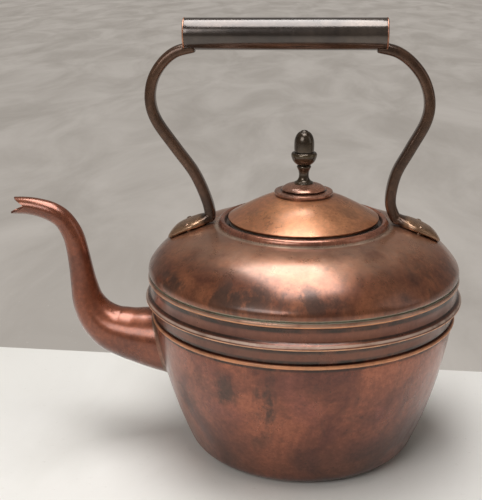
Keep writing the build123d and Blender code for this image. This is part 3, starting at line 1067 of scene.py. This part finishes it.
@dataclass
class Spout(SubAssembly):
    """The swan-neck spout, with its solder fillet and its mouth cut like a beak."""

    vessel: Vessel = None
    wall: float = 1.2
    root_height: float = 74.0
    beak_depth: float = 12.5
    upper_angle: float = 35.0
    lower_angle: float = 27.0
    around: int = 72
    along: int = 190
    root_within: float = 0.35
    mouth_beyond: float = 0.85
    solder_around: int = 144
    solder_reach: float = 2.3
    solder_climb: float = 2.6
    run: tuple[tuple[float, float, float], ...] = (
        (-9.0, -0.8, 50.0), (3.0, 0.3, 46.0), (13.0, 1.6, 42.0), (24.5, 3.7, 37.6),
        (36.5, 7.9, 33.6), (46.4, 16.4, 28.2), (52.6, 27.6, 23.0), (55.3, 40.5, 19.2),
        (56.9, 52.5, 17.0), (59.0, 66.8, 15.5), (61.8, 78.0, 14.8), (67.6, 88.0, 13.9),
        (75.2, 93.6, 13.7), (84.5, 96.8, 12.9), (94.2, 98.3, 12.3), (106.0, 98.4, 11.8),
    )

    def __post_init__(self) -> None:
        """Work out the centre line and the spout's radius along it."""
        root = self.vessel.wall_radius(self.root_height)
        keys = [(-root - out, self.root_height + up, across / 2) for out, up, across in self.run]
        self.stations = smooth_run(keys, 12)

    def point(self, share: float, angle: float, inward: float) -> Vector:
        """A point on the spout's wall.

        Args:
            share: How far along the centre line, from 0 to 1.
            angle: The direction round the centre line, 0 at the side towards +Y.
            inward: How far inside the outer face, in millimetres.

        Returns:
            The point, in millimetres.
        """
        at = share * (len(self.stations) - 1)
        i = min(int(at), len(self.stations) - 2)
        t = at - i
        x, z, radius = (a + (b - a) * t for a, b in zip(self.stations[i], self.stations[i + 1]))
        low, high = self.stations[max(i - 1, 0)], self.stations[min(i + 2, len(self.stations) - 1)]
        ahead = Vector((high[0] - low[0], 0, high[1] - low[1])).normalized()
        up = Vector((0, -1, 0)).cross(ahead) * -1
        out = radius - inward
        return Vector((x, 0, z)) + Vector((0, 1, 0)) * (out * math.cos(angle)) + up * (out * math.sin(angle))

    def solve(self, test: Callable[[float], float], low: float, high: float) -> float:
        """Where a falling or rising test crosses zero.

        Args:
            test: The test, of the share along the centre line.
            low: The lower share.
            high: The higher share.

        Returns:
            The share at the crossing.
        """
        sign = test(low) > 0
        for _ in range(26):
            mid = (low + high) / 2
            if (test(mid) > 0) == sign:
                low = mid
            else:
                high = mid
        return (low + high) / 2

    def root_share(self, angle: float, inward: float, clear: float) -> float:
        """Where the wall of the spout meets the bowl at an angle round it."""

        def outside(share: float) -> float:
            p = self.point(share, angle, inward)
            return math.hypot(p.x, p.y) - self.vessel.wall_radius(p.z) - clear

        return self.solve(outside, 0.0, self.root_within)

    def mouth_share(self, angle: float, inward: float) -> float:
        """Where the wall of the spout ends at the beak at an angle round it."""
        tip = self.stations[-1]
        notch_x, notch_z = tip[0] + self.beak_depth, tip[1]

        def outside(share: float) -> float:
            p = self.point(share, angle, inward)
            rise = p.z - notch_z
            slope = math.tan(math.radians(self.upper_angle if rise > 0 else self.lower_angle))
            return (notch_x - p.x) * slope - abs(rise)

        return 1.0 if outside(1.0) < 0 else self.solve(outside, self.mouth_beyond, 1.0)

    def build_tube(self) -> bpy.types.Object:
        """The spout's tube, from the bowl to the beak and back inside."""
        angles = [2 * math.pi * k / self.around for k in range(self.around)]
        roots = [self.root_share(a, 0.0, 0.0) for a in angles]
        ends = [self.mouth_share(a, 0.0) for a in angles]
        loops = []
        for i in range(self.along + 1):
            t = i / self.along
            loops.append([self.point(r + (e - r) * t, a, 0.0) for a, r, e in zip(angles, roots, ends)])
        lip = Vector((-0.25, 0, 0))
        loops.append([
            self.point(e - 0.001, a, self.wall * 0.5) + lip for a, e in zip(angles, ends)
        ])
        for i in range(self.along, -1, -3):
            t = i / self.along
            loops.append([self.point(r + (e - r) * t, a, self.wall) for a, r, e in zip(angles, roots, ends)])
        return skin("spout_tube", loops, ends=False)

    def build_solder(self) -> bpy.types.Object:
        """The fillet of solder between the spout and the bowl."""
        loops: list[list[Vector]] = [[] for _ in range(9)]
        for k in range(self.solder_around):
            angle = 2 * math.pi * k / self.solder_around
            swell = 1 + 0.35 * noise.noise(Vector((math.cos(angle) * 2.2, math.sin(angle) * 2.2, 4.0)))
            share = self.root_share(angle, 0.0, 0.0)
            on_wall = self.point(share, angle, 0.0)
            on_tube = self.point(self.root_share(angle, 0.0, self.solder_climb * swell), angle, -0.05)
            away = (on_wall - self.point(share, angle, 3.0)).normalized()
            foot = on_wall + away * self.solder_reach * swell
            flat = Vector((foot.x, foot.y, 0))
            foot = flat.normalized() * (self.vessel.wall_radius(foot.z) + 0.05) + Vector((0, 0, foot.z))
            inside = self.point(share, angle, self.wall * 0.5)
            for i in range(7):
                t = i / 6
                pull = on_wall * (2 * t * (1 - t)) + foot * (1 - t) ** 2 + on_tube * t * t
                loops[i].append(pull)
            loops[7].append(inside + (on_tube - on_wall))
            loops[8].append(inside)
        return skin("spout_solder", loops, ends=False)

    def dress(self) -> None:
        """Build the spout and give it its finish."""
        copper = AgedMetal(
            name="spout_copper", metal=(0.27, 0.078, 0.035),
            brown=(0.12, 0.031, 0.016), dark=(0.035, 0.022, 0.016),
            patches=0.25, streaks=0.25, shine=0.28, rings=0.0, coat=0.8, seed=12.0,
            # The first spot is painted shade on the underside of the spout near the bowl.
            spots=(Spot((-128, 0, 56), (48, 40, 20), 1.0), Spot((-205, 0, 166), (14, 12, 4), 0.6)),
        )
        solder = AgedMetal(
            name="spout_solder_metal", metal=(0.30, 0.13, 0.08),
            brown=(0.12, 0.09, 0.065), dark=(0.03, 0.022, 0.016),
            blush=VERDIGRIS, patches=0.4, streaks=0.3, shine=0.4, rings=0.0, metallic=0.7, seed=14.0,
        )
        self.place(self.build_tube(), ["spout"], Slot.SPOUT, copper.material())
        self.place(self.build_solder(), ["spout_flange"], Slot.SPOUT, solder.material())


@dataclass
class Lid(SubAssembly):
    """The lift-off lid, with its two stepped bosses."""

    body: Body = Body.LID
    sheet: float = 1.2
    radius: float = 52.1
    edge_height: float = 167.1
    top: float = 184.9
    crown_radius: float = 76.0
    crown_angle: float = 27.0
    rim_depth: float = 1.5
    flange_radius: float = 49.2
    flange_bottom: float = 149.7
    stop_bottom: float = 163.0
    boss_lower_radius: float = 20.3
    boss_lower_top: float = 185.6
    boss_upper_radius: float = 15.2
    boss_upper_top: float = 190.4
    hole: float = 2.05

    def crown_line(self) -> list[Point]:
        """The outer face of the lid, from the middle to the edge."""
        line = Outline((0, self.top)).turn(self.crown_radius, -self.crown_angle, 24)
        return line.curve((self.radius, self.edge_height), 24).points

    def build_dome(self) -> bpy.types.Object:
        """The domed top of the lid, with its lip."""
        outer = self.crown_line()
        under = beside(outer, -self.sheet)[::-1]
        lip = [
            (self.radius + 0.05, self.edge_height - 0.5),
            (self.radius - 0.3, self.edge_height - self.rim_depth),
            (self.flange_radius - self.sheet, self.edge_height - self.rim_depth),
        ]
        under = [p for p in under if p[0] < self.flange_radius - self.sheet - 0.5]
        outer = [(self.hole, self.top)] + [p for p in outer if p[0] > self.hole]
        under = [p for p in under if p[0] > self.hole] + [(self.hole, self.top - self.sheet)]
        dent = hand_dent(34, 0.22, 168, 184.5, 4, 2.2)
        return lathe("lid_dome_spun", refine(outer + lip + under, 2.2, True), True, dent=dent)

    def build_skirt(self) -> bpy.types.Object:
        """The ring under the lid that enters the mouth."""
        out, top = self.flange_radius, self.edge_height - self.rim_depth
        line = [
            (out - self.sheet, top), (out, top), (out, self.stop_bottom + self.sheet),
            (self.radius - 0.4, self.stop_bottom + self.sheet), (self.radius - 0.4, self.stop_bottom),
            (out, self.stop_bottom), (out, self.flange_bottom), (out - self.sheet, self.flange_bottom),
        ]
        return lathe("lid_skirt", refine(soften(line, 0.25, True), 3.0, True), True)

    def build_lower_boss(self) -> bpy.types.Object:
        """The wide low boss."""
        out, top = self.boss_lower_radius, self.boss_lower_top
        line = [
            (out - 0.7, top - 3.6), (out - 0.1, top - 2.0), (out, top - 0.9), (out - 0.5, top - 0.2),
            (out - 1.6, top), (out - 3.6, top - 0.15), (self.hole, top - 0.1), (self.hole, self.top - 0.05),
        ]
        line += [p for p in self.crown_line() if 3.0 < p[0] < out - 1.0]
        return lathe("lid_boss_step", refine(soften(line, 0.4, True), 2.0, True), True, 160)

    def build_upper_boss(self) -> bpy.types.Object:
        """The narrow upper boss, a cushion shape."""
        base, top, out = self.boss_lower_top, self.boss_upper_top, self.boss_upper_radius
        keys = [(out - 1.0, base), (out, base + 1.2), (out - 2.6, base + 3.3), (8.6, top - 0.25), (6.4, top)]
        line = [tuple(p) for p in smooth_run(keys, 8)] + [(self.hole, top), (self.hole, base)]
        return lathe("lid_boss_button", line, True, 160)

    def dress(self) -> None:
        """Build the lid and give it its finish."""
        copper = AgedMetal(
            name="lid_copper", metal=(0.54, 0.23, 0.105),
            brown=(0.36, 0.135, 0.065), dark=(0.12, 0.07, 0.045),
            blush=(0.50, 0.19, 0.10), patches=0.2, streaks=0.0, shine=0.30, seed=17.0,
            cloud_low=0.42, cloud_high=0.7,
            spots=(
                Spot((-34, -20, 174), (14, 12, 8), 0.5), Spot((30, -22, 175), (16, 12, 8), 0.4),
                Spot((5, 34, 175), (20, 14, 9), 0.7),
            ),
            # Painted shade under the lid's lip.
            lines=(Line(52.0, 165.6, 0.5, 1.6, PAINTED_SHADE, 0.8),),
        )
        inside = AgedMetal(
            name="lid_tin", metal=(0.42, 0.38, 0.33),
            brown=(0.26, 0.22, 0.18), dark=(0.10, 0.08, 0.06),
            blush=(0.30, 0.22, 0.17), shine=0.42, seed=19.0,
        )
        boss = AgedMetal(
            name="boss_copper", metal=(0.46, 0.20, 0.12),
            brown=(0.24, 0.13, 0.09), dark=(0.05, 0.036, 0.028),
            patches=0.4, streaks=0.0, shine=0.2, seed=21.0,
            # Painted shade in the creases at the foot of each boss.
            lines=(Line(15.3, 185.8, 0.3, 1.2, PAINTED_SHADE, 0.9), Line(20.2, 182.6, 0.4, 1.2, PAINTED_SHADE, 0.9)),
        )
        self.place(self.build_dome(), ["lid_dome"], Slot.LID, copper.material())
        self.place(self.build_skirt(), ["lid_flange"], Slot.LID, inside.material())
        boss_metal = boss.material()
        self.place(self.build_lower_boss(), ["lid_boss_lower"], Slot.LID, boss_metal)
        self.place(self.build_upper_boss(), ["lid_boss_upper"], Slot.LID, boss_metal)


@dataclass
class Finial(SubAssembly):
    """The turned finial: a waisted stem, a cup and an acorn, held by a stud with a washer and a nut."""

    body: Body = Body.LID
    foot: float = 190.4
    stem_top: float = 203.3
    cup_top: float = 212.1
    acorn_top: float = 226.2
    hole: float = 2.05
    steps: int = 5
    around: int = 96

    def turned(self, name: str, keys: Sequence[Point]) -> bpy.types.Object:
        """Turn one part of the finial, bored for the stud.

        Args:
            name: The piece's name.
            keys: Its outer line, from its foot to its top, in millimetres.

        Returns:
            The new object.
        """
        line = [tuple(p) for p in smooth_run(keys, self.steps)]
        line += [(self.hole, keys[-1][1]), (self.hole, keys[0][1])]
        return lathe(name, line, True, self.around)

    def build_stem(self) -> bpy.types.Object:
        """The waisted stem."""
        low, high = self.foot, self.stem_top
        keys = [
            (6.6, low), (6.4, low + 0.9), (5.0, low + 1.7), (3.75, low + 3.6), (3.4, low + 6.2),
            (3.8, low + 8.8),
            (4.5, low + 10.4), (4.95, high - 1.6), (4.75, high - 0.7), (4.0, high),
        ]
        return self.turned("finial_stem_turned", keys)

    def build_cup(self) -> bpy.types.Object:
        """The acorn's cup."""
        low, high = self.stem_top, self.cup_top
        keys = [
            (4.0, low), (5.6, low + 0.7), (7.5, low + 2.6), (8.5, low + 4.8), (8.9, low + 6.6),
            (8.75, low + 7.7),
            (8.1, high - 0.25), (7.2, high),
        ]
        return self.turned("finial_cup_turned", keys)

    def build_acorn(self) -> bpy.types.Object:
        """The acorn."""
        low, high = self.cup_top, self.acorn_top
        keys = [
            (6.6, low), (6.85, low + 2.0), (6.9, low + 5.0), (6.75, low + 7.6), (6.2, low + 10.0),
            (5.1, low + 12.2),
            (3.8, low + 13.6), (2.7, high),
        ]
        return self.turned("finial_acorn_turned", keys)

    def dress(self, nodes: dict[str, bpy.types.Object]) -> None:
        """Build the finial and give it and its fixings their finish.

        Args:
            nodes: The frame's own nodes.
        """
        brass = AgedMetal(
            name="finial_brass", metal=(0.10, 0.065, 0.032),
            brown=(0.045, 0.029, 0.017), dark=(0.013, 0.009, 0.006),
            blush=(0.12, 0.06, 0.03), patches=0.5, streaks=0.2, shine=0.17, seed=23.0,
            cloud_low=0.3, cloud_high=0.6,
            lines=(
                # Painted shade where the stem, cup and acorn meet, and a painted highlight round the cup's
                # rim.
                Line(7.0, 212.1, 0.3, 1.0, PAINTED_SHADE, 0.9), Line(4.2, 203.3, 0.3, 0.9, PAINTED_SHADE, 0.9),
                Line(8.8, 210.6, 0.3, 1.1, (0.16, 0.12, 0.06), 0.5),
            ),
        )
        metal = brass.material()
        self.place(self.build_stem(), ["finial_stem"], Slot.FINIAL, metal)
        self.place(self.build_cup(), ["finial_cup"], Slot.FINIAL, metal)
        self.place(self.build_acorn(), ["finial_acorn"], Slot.FINIAL, metal)
        for name in ("finial_stud", "finial_washer", "finial_nut"):
            nodes[name].data.materials.clear()
            nodes[name].data.materials.append(metal)


@dataclass
class Handle(SubAssembly):
    """The fixed overhead handle: two forged arms with riveted feet, and a tube to hold."""

    vessel: Vessel = None
    thickness: float = 7.4
    width: float = 11.0
    lean: float = 13.6
    lean_start: float = 0.06
    lean_power: float = 0.55
    grip_height: float = 291.1
    grip_radius: float = 10.6
    grip_length: float = 135.4
    cap: float = 1.2
    foot_thickness: float = 3.0
    rivet_reach: float = 79.0
    rivet_spread: float = 9.0
    rivet_lift: float = 1.5
    arm_around: int = 28
    voxel: float = 0.55
    clearance: float = 0.05
    arm_shape: tuple[Point, ...] = (
        (0.065, 63.6), (0.16, 63.0), (0.31, 68.6), (0.455, 79.6), (0.60, 90.4),
        (0.71, 93.4), (0.82, 90.6), (0.91, 83.4), (0.972, 73.6), (1.0, 60.8),
    )

    def lean_at(self, share: float) -> float:
        """How far the handle leans towards the spout at a share of the arm's height."""
        return -self.lean * max(0.0, share - self.lean_start) ** self.lean_power

    def arm_rows(self, side: int) -> list[list[float]]:
        """The rows of an arm: place, half thickness and half width, from the tip of the foot up."""
        top = self.grip_height - self.grip_radius + self.thickness / 4
        bottom = self.vessel.shoulder_top - self.foot_thickness
        rows: list[tuple[float, float, float, float]] = []
        leaf = (
            (94.3, 0.8, 1.8), (93.2, 1.4, 4.6), (90.6, 1.9, 7.6), (86.6, 2.2, 10.6), (82.0, 2.3, 12.5),
            (77.5, 2.35, 12.9), (73.0, 2.5, 11.6), (69.3, 2.8, 8.8),
        )
        for reach, half, wide in leaf:
            rows.append((side * reach, self.vessel.shoulder_height(reach) + half + 0.05, half, wide))
        rows.append((side * 66.0, 165.1, 3.1, 6.4))
        for share, reach in self.arm_shape:
            height = bottom + (top - bottom) * share
            rows.append((side * reach + self.lean_at(share), height, self.thickness / 2, self.width / 2))
        return smooth_run(rows, 7)

    def build_arm(self, side: int, name: str) -> bpy.types.Object:
        """One forged arm and its foot.

        Args:
            side: -1 at the spout, 1 at the back.
            name: The piece's name.

        Returns:
            The new object.
        """
        rows = self.arm_rows(side)
        loops = []
        for i, (x, z, half, wide) in enumerate(rows):
            low, high = rows[max(i - 1, 0)], rows[min(i + 1, len(rows) - 1)]
            ahead = Vector((high[0] - low[0], 0, high[1] - low[1])).normalized()
            out = Vector((0, side, 0)).cross(ahead)
            flat = max(0.0, min(1.0, (wide - 5.5) / 5.0))
            loop = []
            for k in range(self.arm_around):
                angle = 2 * math.pi * k / self.arm_around
                c, s = math.cos(angle), math.sin(angle)
                power = 0.62 + 0.2 * flat
                across = math.copysign(abs(c) ** power, c) * wide
                rounding, reach = (0.9, 1.15 + 0.5 * flat) if s > 0 else (0.5, 0.9)
                lift = math.copysign(abs(s) ** rounding, s) * half * reach
                loop.append(Vector((x, 0, z)) + Vector((0, 1, 0)) * across + out * lift)
            loops.append(loop)
        arm = skin(name, loops)
        remesh = arm.modifiers.new("forge", "REMESH")
        remesh.mode, remesh.voxel_size = "VOXEL", self.voxel * MM
        relax = arm.modifiers.new("relax", "SMOOTH")
        relax.factor, relax.iterations = 0.5, 6
        settle(arm)
        clear = (self.grip_radius + self.clearance) * MM
        for vertex in arm.data.vertices:
            p = vertex.co
            floor = self.vessel.shoulder_height(math.hypot(p.x, p.y) / MM) * MM
            p.z = max(p.z, floor + self.clearance * MM)
            gap = Vector((p.y, p.z - self.grip_height * MM))
            inside = abs(p.x + self.lean * MM) < self.grip_length / 2 * MM
            if inside and gap.length < clear:
                gap = gap.normalized() * clear
                p.y, p.z = gap.x, self.grip_height * MM + gap.y
        return arm

    def build_grip(self) -> bpy.types.Object:
        """The tube that the hand holds."""
        half, out, wall = self.grip_length / 2 - self.cap, self.grip_radius, 1.0
        line = [(out, -half), (out, half), (out - wall, half), (out - wall, -half)]
        tube = lathe("grip_tube_drawn", refine(soften(line, 0.2, True), 3.0, True), True, 128)
        return self.lay_down(tube)

    def build_cap(self, side: int, name: str) -> bpy.types.Object:
        """The copper disc at one end of the tube."""
        inner = (self.grip_length / 2 - self.cap) * side
        out = self.grip_radius + 0.25
        line = [
            (0.0, inner + 1.2 * side), (out - 2.4, inner + 1.2 * side), (out - 0.5, inner + 1.05 * side),
            (out, inner + 0.6 * side), (out - 0.1, inner + 0.02 * side), (0.0, inner + 0.02 * side),
        ]
        return self.lay_down(lathe(name, refine(soften(line, 0.3, False), 1.5, False), False, 128))

    def lay_down(self, piece: bpy.types.Object) -> bpy.types.Object:
        """Turn a piece from the Z axis on to the grip's own axis."""
        turn = Matrix.Rotation(math.radians(90), 4, "Y")
        piece.data.transform(Matrix.Translation((-self.lean * MM, 0, self.grip_height * MM)) @ turn)
        return piece

    def build_rivet(self, side: int, spread: float, name: str) -> bpy.types.Object:
        """One hammered rivet head, with its shank."""
        keys = [(0, 1.5), (0.8, 1.45), (1.6, 1.1), (2.15, 0.5), (2.3, 0.0), (2.1, -0.25)]
        line = [tuple(p) for p in smooth_run(keys, 4)]
        line += [(1.4, -0.25), (1.4, -4.6), (2.2, -4.7), (2.3, -5.0), (1.6, -5.7), (0, -5.9)]
        rivet = lathe(name, line, False, 40)
        reach = math.hypot(self.rivet_reach, spread)
        low, high = self.vessel.shoulder_height(reach - 1), self.vessel.shoulder_height(reach + 1)
        out = Vector((side * self.rivet_reach, spread, 0)).normalized()
        normal = (out * (low - high) + Vector((0, 0, 2))).normalized()
        foot = out * reach + Vector((0, 0, self.vessel.shoulder_height(reach)))
        spot = foot + normal * (self.foot_thickness + self.rivet_lift)
        turn = normal.to_track_quat("Z", "Y").to_matrix().to_4x4()
        rivet.data.transform(Matrix.Translation(spot * MM) @ turn)
        return rivet

    def dress(self) -> None:
        """Build the handle and give it its finishes."""
        bronze = AgedMetal(
            name="handle_bronze", metal=(0.12, 0.062, 0.036),
            brown=(0.05, 0.028, 0.018), dark=(0.014, 0.01, 0.007),
            blush=(0.08, 0.036, 0.022), patches=0.35, streaks=0.3, shine=0.26,
            rings=0.0, seed=27.0, coat=0.25,
            lines=(
                # The lighter tops of the feet: painted highlight; painted shade under the tips of the feet.
                Line(84.0, 159.0, 13.0, 17.0, (0.40, 0.23, 0.13), 0.85),
                Line(95.5, 149.0, 1.5, 4.0, PAINTED_SHADE, 0.9),
            ),
        )
        grip = AgedMetal(
            name="grip_bronze", metal=(0.09, 0.065, 0.05),
            brown=(0.04, 0.028, 0.022), dark=(0.018, 0.013, 0.01),
            blush=(0.06, 0.035, 0.025), patches=0.3, streaks=0.0, shine=0.14, rings=0.0, seed=31.0, coat=1.0,
        )
        cap = AgedMetal(
            name="cap_copper", metal=(0.55, 0.26, 0.15),
            brown=(0.32, 0.13, 0.08), dark=(0.09, 0.05, 0.035),
            patches=0.3, streaks=0.0, shine=0.25, rings=0.0, seed=33.0,
        )
        rivet = AgedMetal(
            name="rivet_bronze", metal=(0.36, 0.22, 0.13),
            brown=(0.18, 0.10, 0.06), dark=(0.05, 0.035, 0.025),
            patches=0.3, streaks=0.0, shine=0.22, rings=0.0, seed=35.0,
        )
        metal = bronze.material()
        self.place(self.build_arm(-1, "arm_left_forged"), ["handle_arm_left"], Slot.HANDLE, metal)
        self.place(self.build_arm(1, "arm_right_forged"), ["handle_arm_right"], Slot.HANDLE, metal)
        self.place(self.build_grip(), ["grip_tube"], Slot.GRIP, grip.material())
        disc = cap.material()
        self.place(self.build_cap(-1, "cap_left_disc"), ["grip_cap_left"], Slot.CAPS, disc)
        self.place(self.build_cap(1, "cap_right_disc"), ["grip_cap_right"], Slot.CAPS, disc)
        head = rivet.material()
        for side, word in ((-1, "left"), (1, "right")):
            for number, spread in ((1, -self.rivet_spread), (2, self.rivet_spread)):
                piece = self.build_rivet(side, spread, f"rivet_head_{word}_{number}")
                self.place(piece, [f"rivet_{word}_{number}"], Slot.RIVETS, head)


# ------------------------------------------------------------------------------ studio


@dataclass
class Studio:
    """The pale table, the cloth behind it, the soft light and the camera."""

    eye: Colour = (0.0, -0.673, 0.349)
    pitch: float = 17.10
    yaw: float = 3.70
    roll: float = -0.29
    lens: float = 72.0
    table_left: Point = (-0.272, 0.151)
    table_right: Point = (0.153, 0.118)
    table_half: float = 3.0
    cloth_half: float = 12.0
    cloth_depth: float = 30.0
    room: Colour = (0.40, 0.37, 0.34)
    room_strength: float = 0.42

    def build_camera(self) -> None:
        """The camera, at the height and angle of a person looking down at the kettle."""
        pitch, yaw, roll = (math.radians(a) for a in (self.pitch, self.yaw, self.roll))
        look = Vector((-math.sin(yaw) * math.cos(pitch), math.cos(yaw) * math.cos(pitch), -math.sin(pitch)))
        right = Vector((math.cos(yaw), math.sin(yaw), 0))
        up = right.cross(look)
        right, up = right * math.cos(roll) + up * math.sin(roll), up * math.cos(roll) - right * math.sin(roll)
        data = bpy.data.cameras.new("camera")
        data.sensor_width, data.lens = 36.0, self.lens
        data.clip_start, data.clip_end = 0.01, 50
        camera = bpy.data.objects.new("camera", data)
        camera.matrix_world = Matrix((
            (right.x, up.x, -look.x, self.eye[0]),
            (right.y, up.y, -look.y, self.eye[1]),
            (right.z, up.z, -look.z, self.eye[2]),
            (0, 0, 0, 1),
        ))
        bpy.context.scene.collection.objects.link(camera)
        bpy.context.scene.camera = camera

    def build_floor(self) -> None:
        """The pale table top, and the grey cloth that lies beyond its back edge."""
        along = (Vector(self.table_right) - Vector(self.table_left)).normalized()
        away = Vector((-along.y, along.x))
        middle = (Vector(self.table_left) + Vector(self.table_right)) / 2
        side, near = along * self.table_half, away * self.table_half
        table = [middle - side, middle + side, middle + side - near, middle - side - near]
        side, far = along * self.cloth_half, away * self.cloth_depth
        cloth = [middle - side, middle + side, middle + side + far, middle - side + far]
        pale = Plain(
            name="table_paint", light=(0.87, 0.85, 0.81), shade=(0.78, 0.76, 0.715),
            fleck=(0.66, 0.63, 0.58), scale=6, folds=0.6,
        )
        # The cloth's mottled two tones are in part painted shading of its folds.
        grey = Plain(
            name="backdrop_cloth", light=(0.285, 0.262, 0.238), shade=(0.215, 0.195, 0.174),
            fleck=(0.345, 0.32, 0.295), scale=7, folds=4, glow=1.45,
        )
        for name, corners, finish in (("table_top", table, pale), ("backdrop", cloth, grey)):
            level = [(c.x / MM, c.y / MM, 0.0) for c in corners]
            piece = mesh_piece(name, level, [(0, 1, 2, 3)])
            piece.data.materials.append(finish.material())

    def build_light(self) -> None:
        """A wide soft light overhead, a weak one in front and a dim room."""
        for name, place, size, power, aim in (
            ("overhead", (-0.05, -0.02, 1.05), (0.85, 0.55), 10.0, (0, 0, 0.1)),
            ("front_left", (-0.7, -1.3, 1.0), (0.9, 0.7), 9.0, (0, 0, 0.1)),
            ("right_side", (1.2, -0.3, 0.6), (0.5, 0.9), 0.8, (0, 0, 0.12)),
        ):
            data = bpy.data.lights.new(name, "AREA")
            data.shape, data.size, data.size_y, data.energy = "RECTANGLE", size[0], size[1], power
            lamp = bpy.data.objects.new(name, data)
            lamp.location = place
            lamp.rotation_mode = "QUATERNION"
            lamp.rotation_quaternion = (Vector(aim) - Vector(place)).to_track_quat("-Z", "Y")
            bpy.context.scene.collection.objects.link(lamp)
        world = bpy.data.worlds.new("room")
        world.use_nodes = True
        world.node_tree.nodes["Background"].inputs[0].default_value = (*self.room, 1)
        world.node_tree.nodes["Background"].inputs[1].default_value = self.room_strength
        bpy.context.scene.world = world
        bpy.context.scene.view_settings.view_transform = "Standard"

    def build(self) -> None:
        """Build all of it."""
        self.build_camera()
        self.build_floor()
        self.build_light()


def main() -> None:
    """Build the kettle round its frame."""
    logging.basicConfig(level=logging.INFO, format="%(name)s: %(message)s")
    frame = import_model()
    studio = Studio()
    studio.build()
    vessel = Vessel()
    vessel.dress()
    Spout(vessel=vessel).dress()
    Lid().dress()
    Finial().dress(frame["nodes"])
    Handle(vessel=vessel).dress()


if __name__ == "__main__":
    main()
